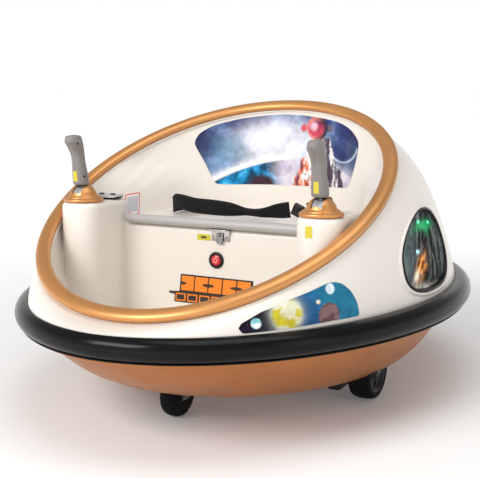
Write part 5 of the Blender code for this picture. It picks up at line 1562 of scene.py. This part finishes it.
def make_latch():
    """A steel keeper plate with a ledge and two rivets, and the turning tongue with its knob."""
    x, z = LATCH_X, LATCH_Z
    top = ROLL_Z - ROLL_RADIUS - GAP
    front = RISER_Y - GAP - 0.0020
    plate = box_mesh("plate", (x - 0.0174, front + 0.0001, z - 0.0109), (x + 0.0174, RISER_Y - GAP, top),
                     0.0005)
    ledge = box_mesh("ledge", (x - 0.0174, -0.1679, top - 0.0019), (x + 0.0174, front + 0.0008, top), 0.0005)
    spots = [(x - 0.0128, front, z - 0.0045), (x + 0.0128, front, z - 0.0045)]
    holes = [turned("rivet_hole", [(0.0016, -0.004), (0.0016, 0.004)], along("FRONT", spot), 20)
             for spot in spots]
    add_piece("keeper", cut(cut(plate, [ledge], "UNION"), holes), "steel", "latch_plate", sharp=30.0)
    head = mm((0, 0.9), (1, 0.8), (2.1, 0.3), (2.4, -0.1), (1.5, -0.1), (1.5, -1.8), (0, -1.8))
    for i, (spot_x, spot_y, spot_z) in enumerate(spots):
        rivet = turned("rivet", head, along("FRONT", (spot_x, spot_y - 0.0001, spot_z)), 24)
        add_piece(f"keeper_rivet_{i}", rivet, "dark_steel")
    tongue = box_mesh("tongue", (x - 0.0059, -0.1598, z - 0.0149), (x + 0.0059, -0.1582, z + 0.0029), 0.0004)
    lip = box_mesh("lip", (x - 0.0040, -0.1606, z - 0.0149), (x + 0.0040, -0.1590, z - 0.0133), 0.0004)
    knob = mm((0, 3.8), (2.2, 3.6), (3.1, 2.8), (3.4, 1.6), (3.4, -0.6), (0, -0.6))
    parts = [cut(tongue, [lip], "UNION"), turned("knob", knob, along("FRONT", (x, -0.1600, z)), 32)]
    add_piece("tongue", merged("tongue", parts), "dark_steel", "latch_tongue", body="latch_catch")


# ---------------------------------------------------------------- running gear and insides

def dress(name, material, width=0.0, limit=30.0, segments=2, sharp=35.0):
    """A carried-over node's material, with its edges softened by a width."""
    node = nodes[name]
    if width:
        soften(node, width, limit, segments)
    node.data.materials.clear()
    node.data.materials.append(MATERIALS[material])
    shade(node.data, sharp)


def tread_wheel(name, node, centre, radius, bore, half, lugs, body):
    """A tyre whose tread is cut by slanting grooves, with rounded shoulders."""
    crown = radius - 0.0025
    profile = [(bore, half - 0.0006), (bore + 0.0006, half), (crown - 0.0045, half),
               (crown - 0.0012, half * 0.93),
               (crown + 0.0006, half * 0.78), (radius - 0.0004, half * 0.45), (radius, half * 0.20)]
    place = along("X", centre)
    rows = []
    for distance, level in mirrored(profile):
        row = []
        for i, turn in enumerate(angles(lugs * 6)):
            slot_part = (i + 2.0 * abs(level) / half * 1.5) % 6
            reach = distance - (0.0016 if slot_part < 1.6 and distance > crown - 0.002 else 0.0)
            row.append(place @ Vector((reach * cos(turn), reach * sin(turn), level)))
        rows.append(row)
    add_piece(name, lofted(name, rows, True), "rubber", node, body=body)


def make_hub(word, centre):
    """A dished black hub with six round windows."""
    half = DRIVE_HALF_WIDTH - 0.001
    ring = [(0.0052, half), (0.0118, half), (0.0124, half - 0.0006), (0.0150, half - 0.006),
            (0.0322, half - 0.006), (0.0354, half - 0.0004), (0.0361, half), (0.0380, half),
            (0.0385, half - 0.0005)]
    place = along("X", centre)
    windows = []
    for i in range(6):
        spot = place @ Matrix.Rotation(radians(60 * i), 4, "Z") @ Matrix.Translation((0.0240, 0.0, 0.0))
        windows.append(turned("window", [(0.0060, -0.02), (0.0060, 0.02)], spot, 32))
    thing = helper("hub", cut(turned("hub", mirrored(ring), place, 96, True), windows))
    soften(thing, 0.0004, 40.0)
    add_piece(f"hub_{word}", baked(thing), "black", f"wheel_hub_{word}", body=f"drive_wheel_{word}")


# Each carried-over node's material, the width of its soft edges, the edge angle and the segments.
PAIRED_INSIDES = [("wheel_axle", "dark_steel", 0.0003, 30.0, 2), ("output_gear", "nylon", 0.0003, 30.0, 2),
                  ("motor_pinion", "steel", 0.0002, 30.0, 2), ("gearbox_case", "black", 0.0008, 30.0, 2),
                  ("motor", "steel", 0.0008, 40.0, 2), ("stick_switches", "black", 0.0006, 30.0, 2)]
CASTER_INSIDES = [("caster_fork", "dark_steel", 0.0006, 30.0, 2), ("caster_bush", "nylon", 0.0005, 30.0, 2)]
SINGLE_INSIDES = [("battery", "black", 0.0015, 25.0, 3), ("battery_clamp", "steel", 0.0004, 25.0, 3),
                  ("control_box", "black", 0.0015, 25.0, 3), ("speaker", "black", 0.0006, 25.0, 3),
                  ("charge_socket", "black", 0.0003, 25.0, 3)]


def make_wheels():
    for side, word in ((1, "left"), (-1, "right")):
        centre = (side * DRIVE_X, DRIVE_Y, DRIVE_RADIUS)
        tread_wheel(f"tyre_{word}", f"wheel_tyre_{word}", centre, DRIVE_RADIUS, 0.0393, DRIVE_HALF_WIDTH, 30,
                    f"drive_wheel_{word}")
        make_hub(word, centre)
    for end, word in ((-1, "front"), (1, "rear")):
        centre = (0.0, end * CASTER_PIVOT_Y + CASTER_TRAIL, CASTER_RADIUS)
        tread_wheel(f"roller_{word}", f"caster_wheel_{word}", centre, CASTER_RADIUS, 0.0046,
                    CASTER_HALF_WIDTH,
                    24, f"caster_roller_{word}")


def dress_insides():
    """Finish the nodes that the frame already has in their right shape."""
    for rows, words in ((PAIRED_INSIDES, ("_left", "_right")), (CASTER_INSIDES, ("_front", "_rear")),
                        (SINGLE_INSIDES, ("",))):
        for node, material, width, limit, segments in rows:
            for word in words:
                dress(node + word, material, width, limit, segments)
    dress("wiring_loom", "wire", sharp=60.0)
    rounder = nodes["wiring_loom"].modifiers.new("round", "SUBSURF")
    rounder.levels = rounder.render_levels = 1


def screw(name, place, head_radius, length):
    """A pan-head screw with a cross recess, head along place's Z."""
    head = [(0.0, 0.0020), (head_radius * 0.55, 0.0019), (head_radius * 0.86, 0.0013), (head_radius, 0.0004),
            (head_radius, 0.0001), (0.0014, 0.0001), (0.0014, -length * 0.8), (0.0002, -length),
            (0.0, -length)]
    bars = [box_mesh("bar", (-half_x, -half_y, 0.0010), (half_x, half_y, 0.004), 0.0, place)
            for half_x, half_y in ((head_radius * 0.55, 0.00035), (0.00035, head_radius * 0.55))]
    add_piece(name, cut(turned(name, head, place, 28), bars), "dark_steel")


def make_screws():
    """Screws up through the lower shell: a ring of eight near its edge and four in its floor."""
    down = Matrix.Rotation(pi, 4, "X")
    for i in range(8):
        spot = oval(SCREW_RING_X, SCREW_RING_Y, OVAL_POWER, radians(22.5 + 45 * i))
        screw(f"seam_screw_{i}", Matrix.Translation((spot.x, spot.y, BOWL_Z - 0.0002)) @ down, 0.0036, 0.030)
    for i, (x, y) in enumerate(FLOOR_SCREWS):
        screw(f"floor_screw_{i}", Matrix.Translation((x, y, BOWL_FLAT_Z - 0.0002)) @ down, 0.0036, 0.016)


# ---------------------------------------------------------------- everything

make_materials()
make_studio()
make_camera()
make_upper_shell()
make_bumper()
make_rim()
make_lower_shell()
tub_tree = make_tub()
make_back_picture(tub_tree)
make_front_picture()
make_motif()
make_labels(tub_tree)
for lamp_side, lamp_word in ((1, "left"), (-1, "right")):
    make_lamp(lamp_side, lamp_word)
    make_stick_base(lamp_side, lamp_word)
    make_grip(lamp_side, lamp_word)
make_panel()
make_power_button()
make_seat()
make_belts()
make_latch()
make_wheels()
dress_insides()
make_screws()
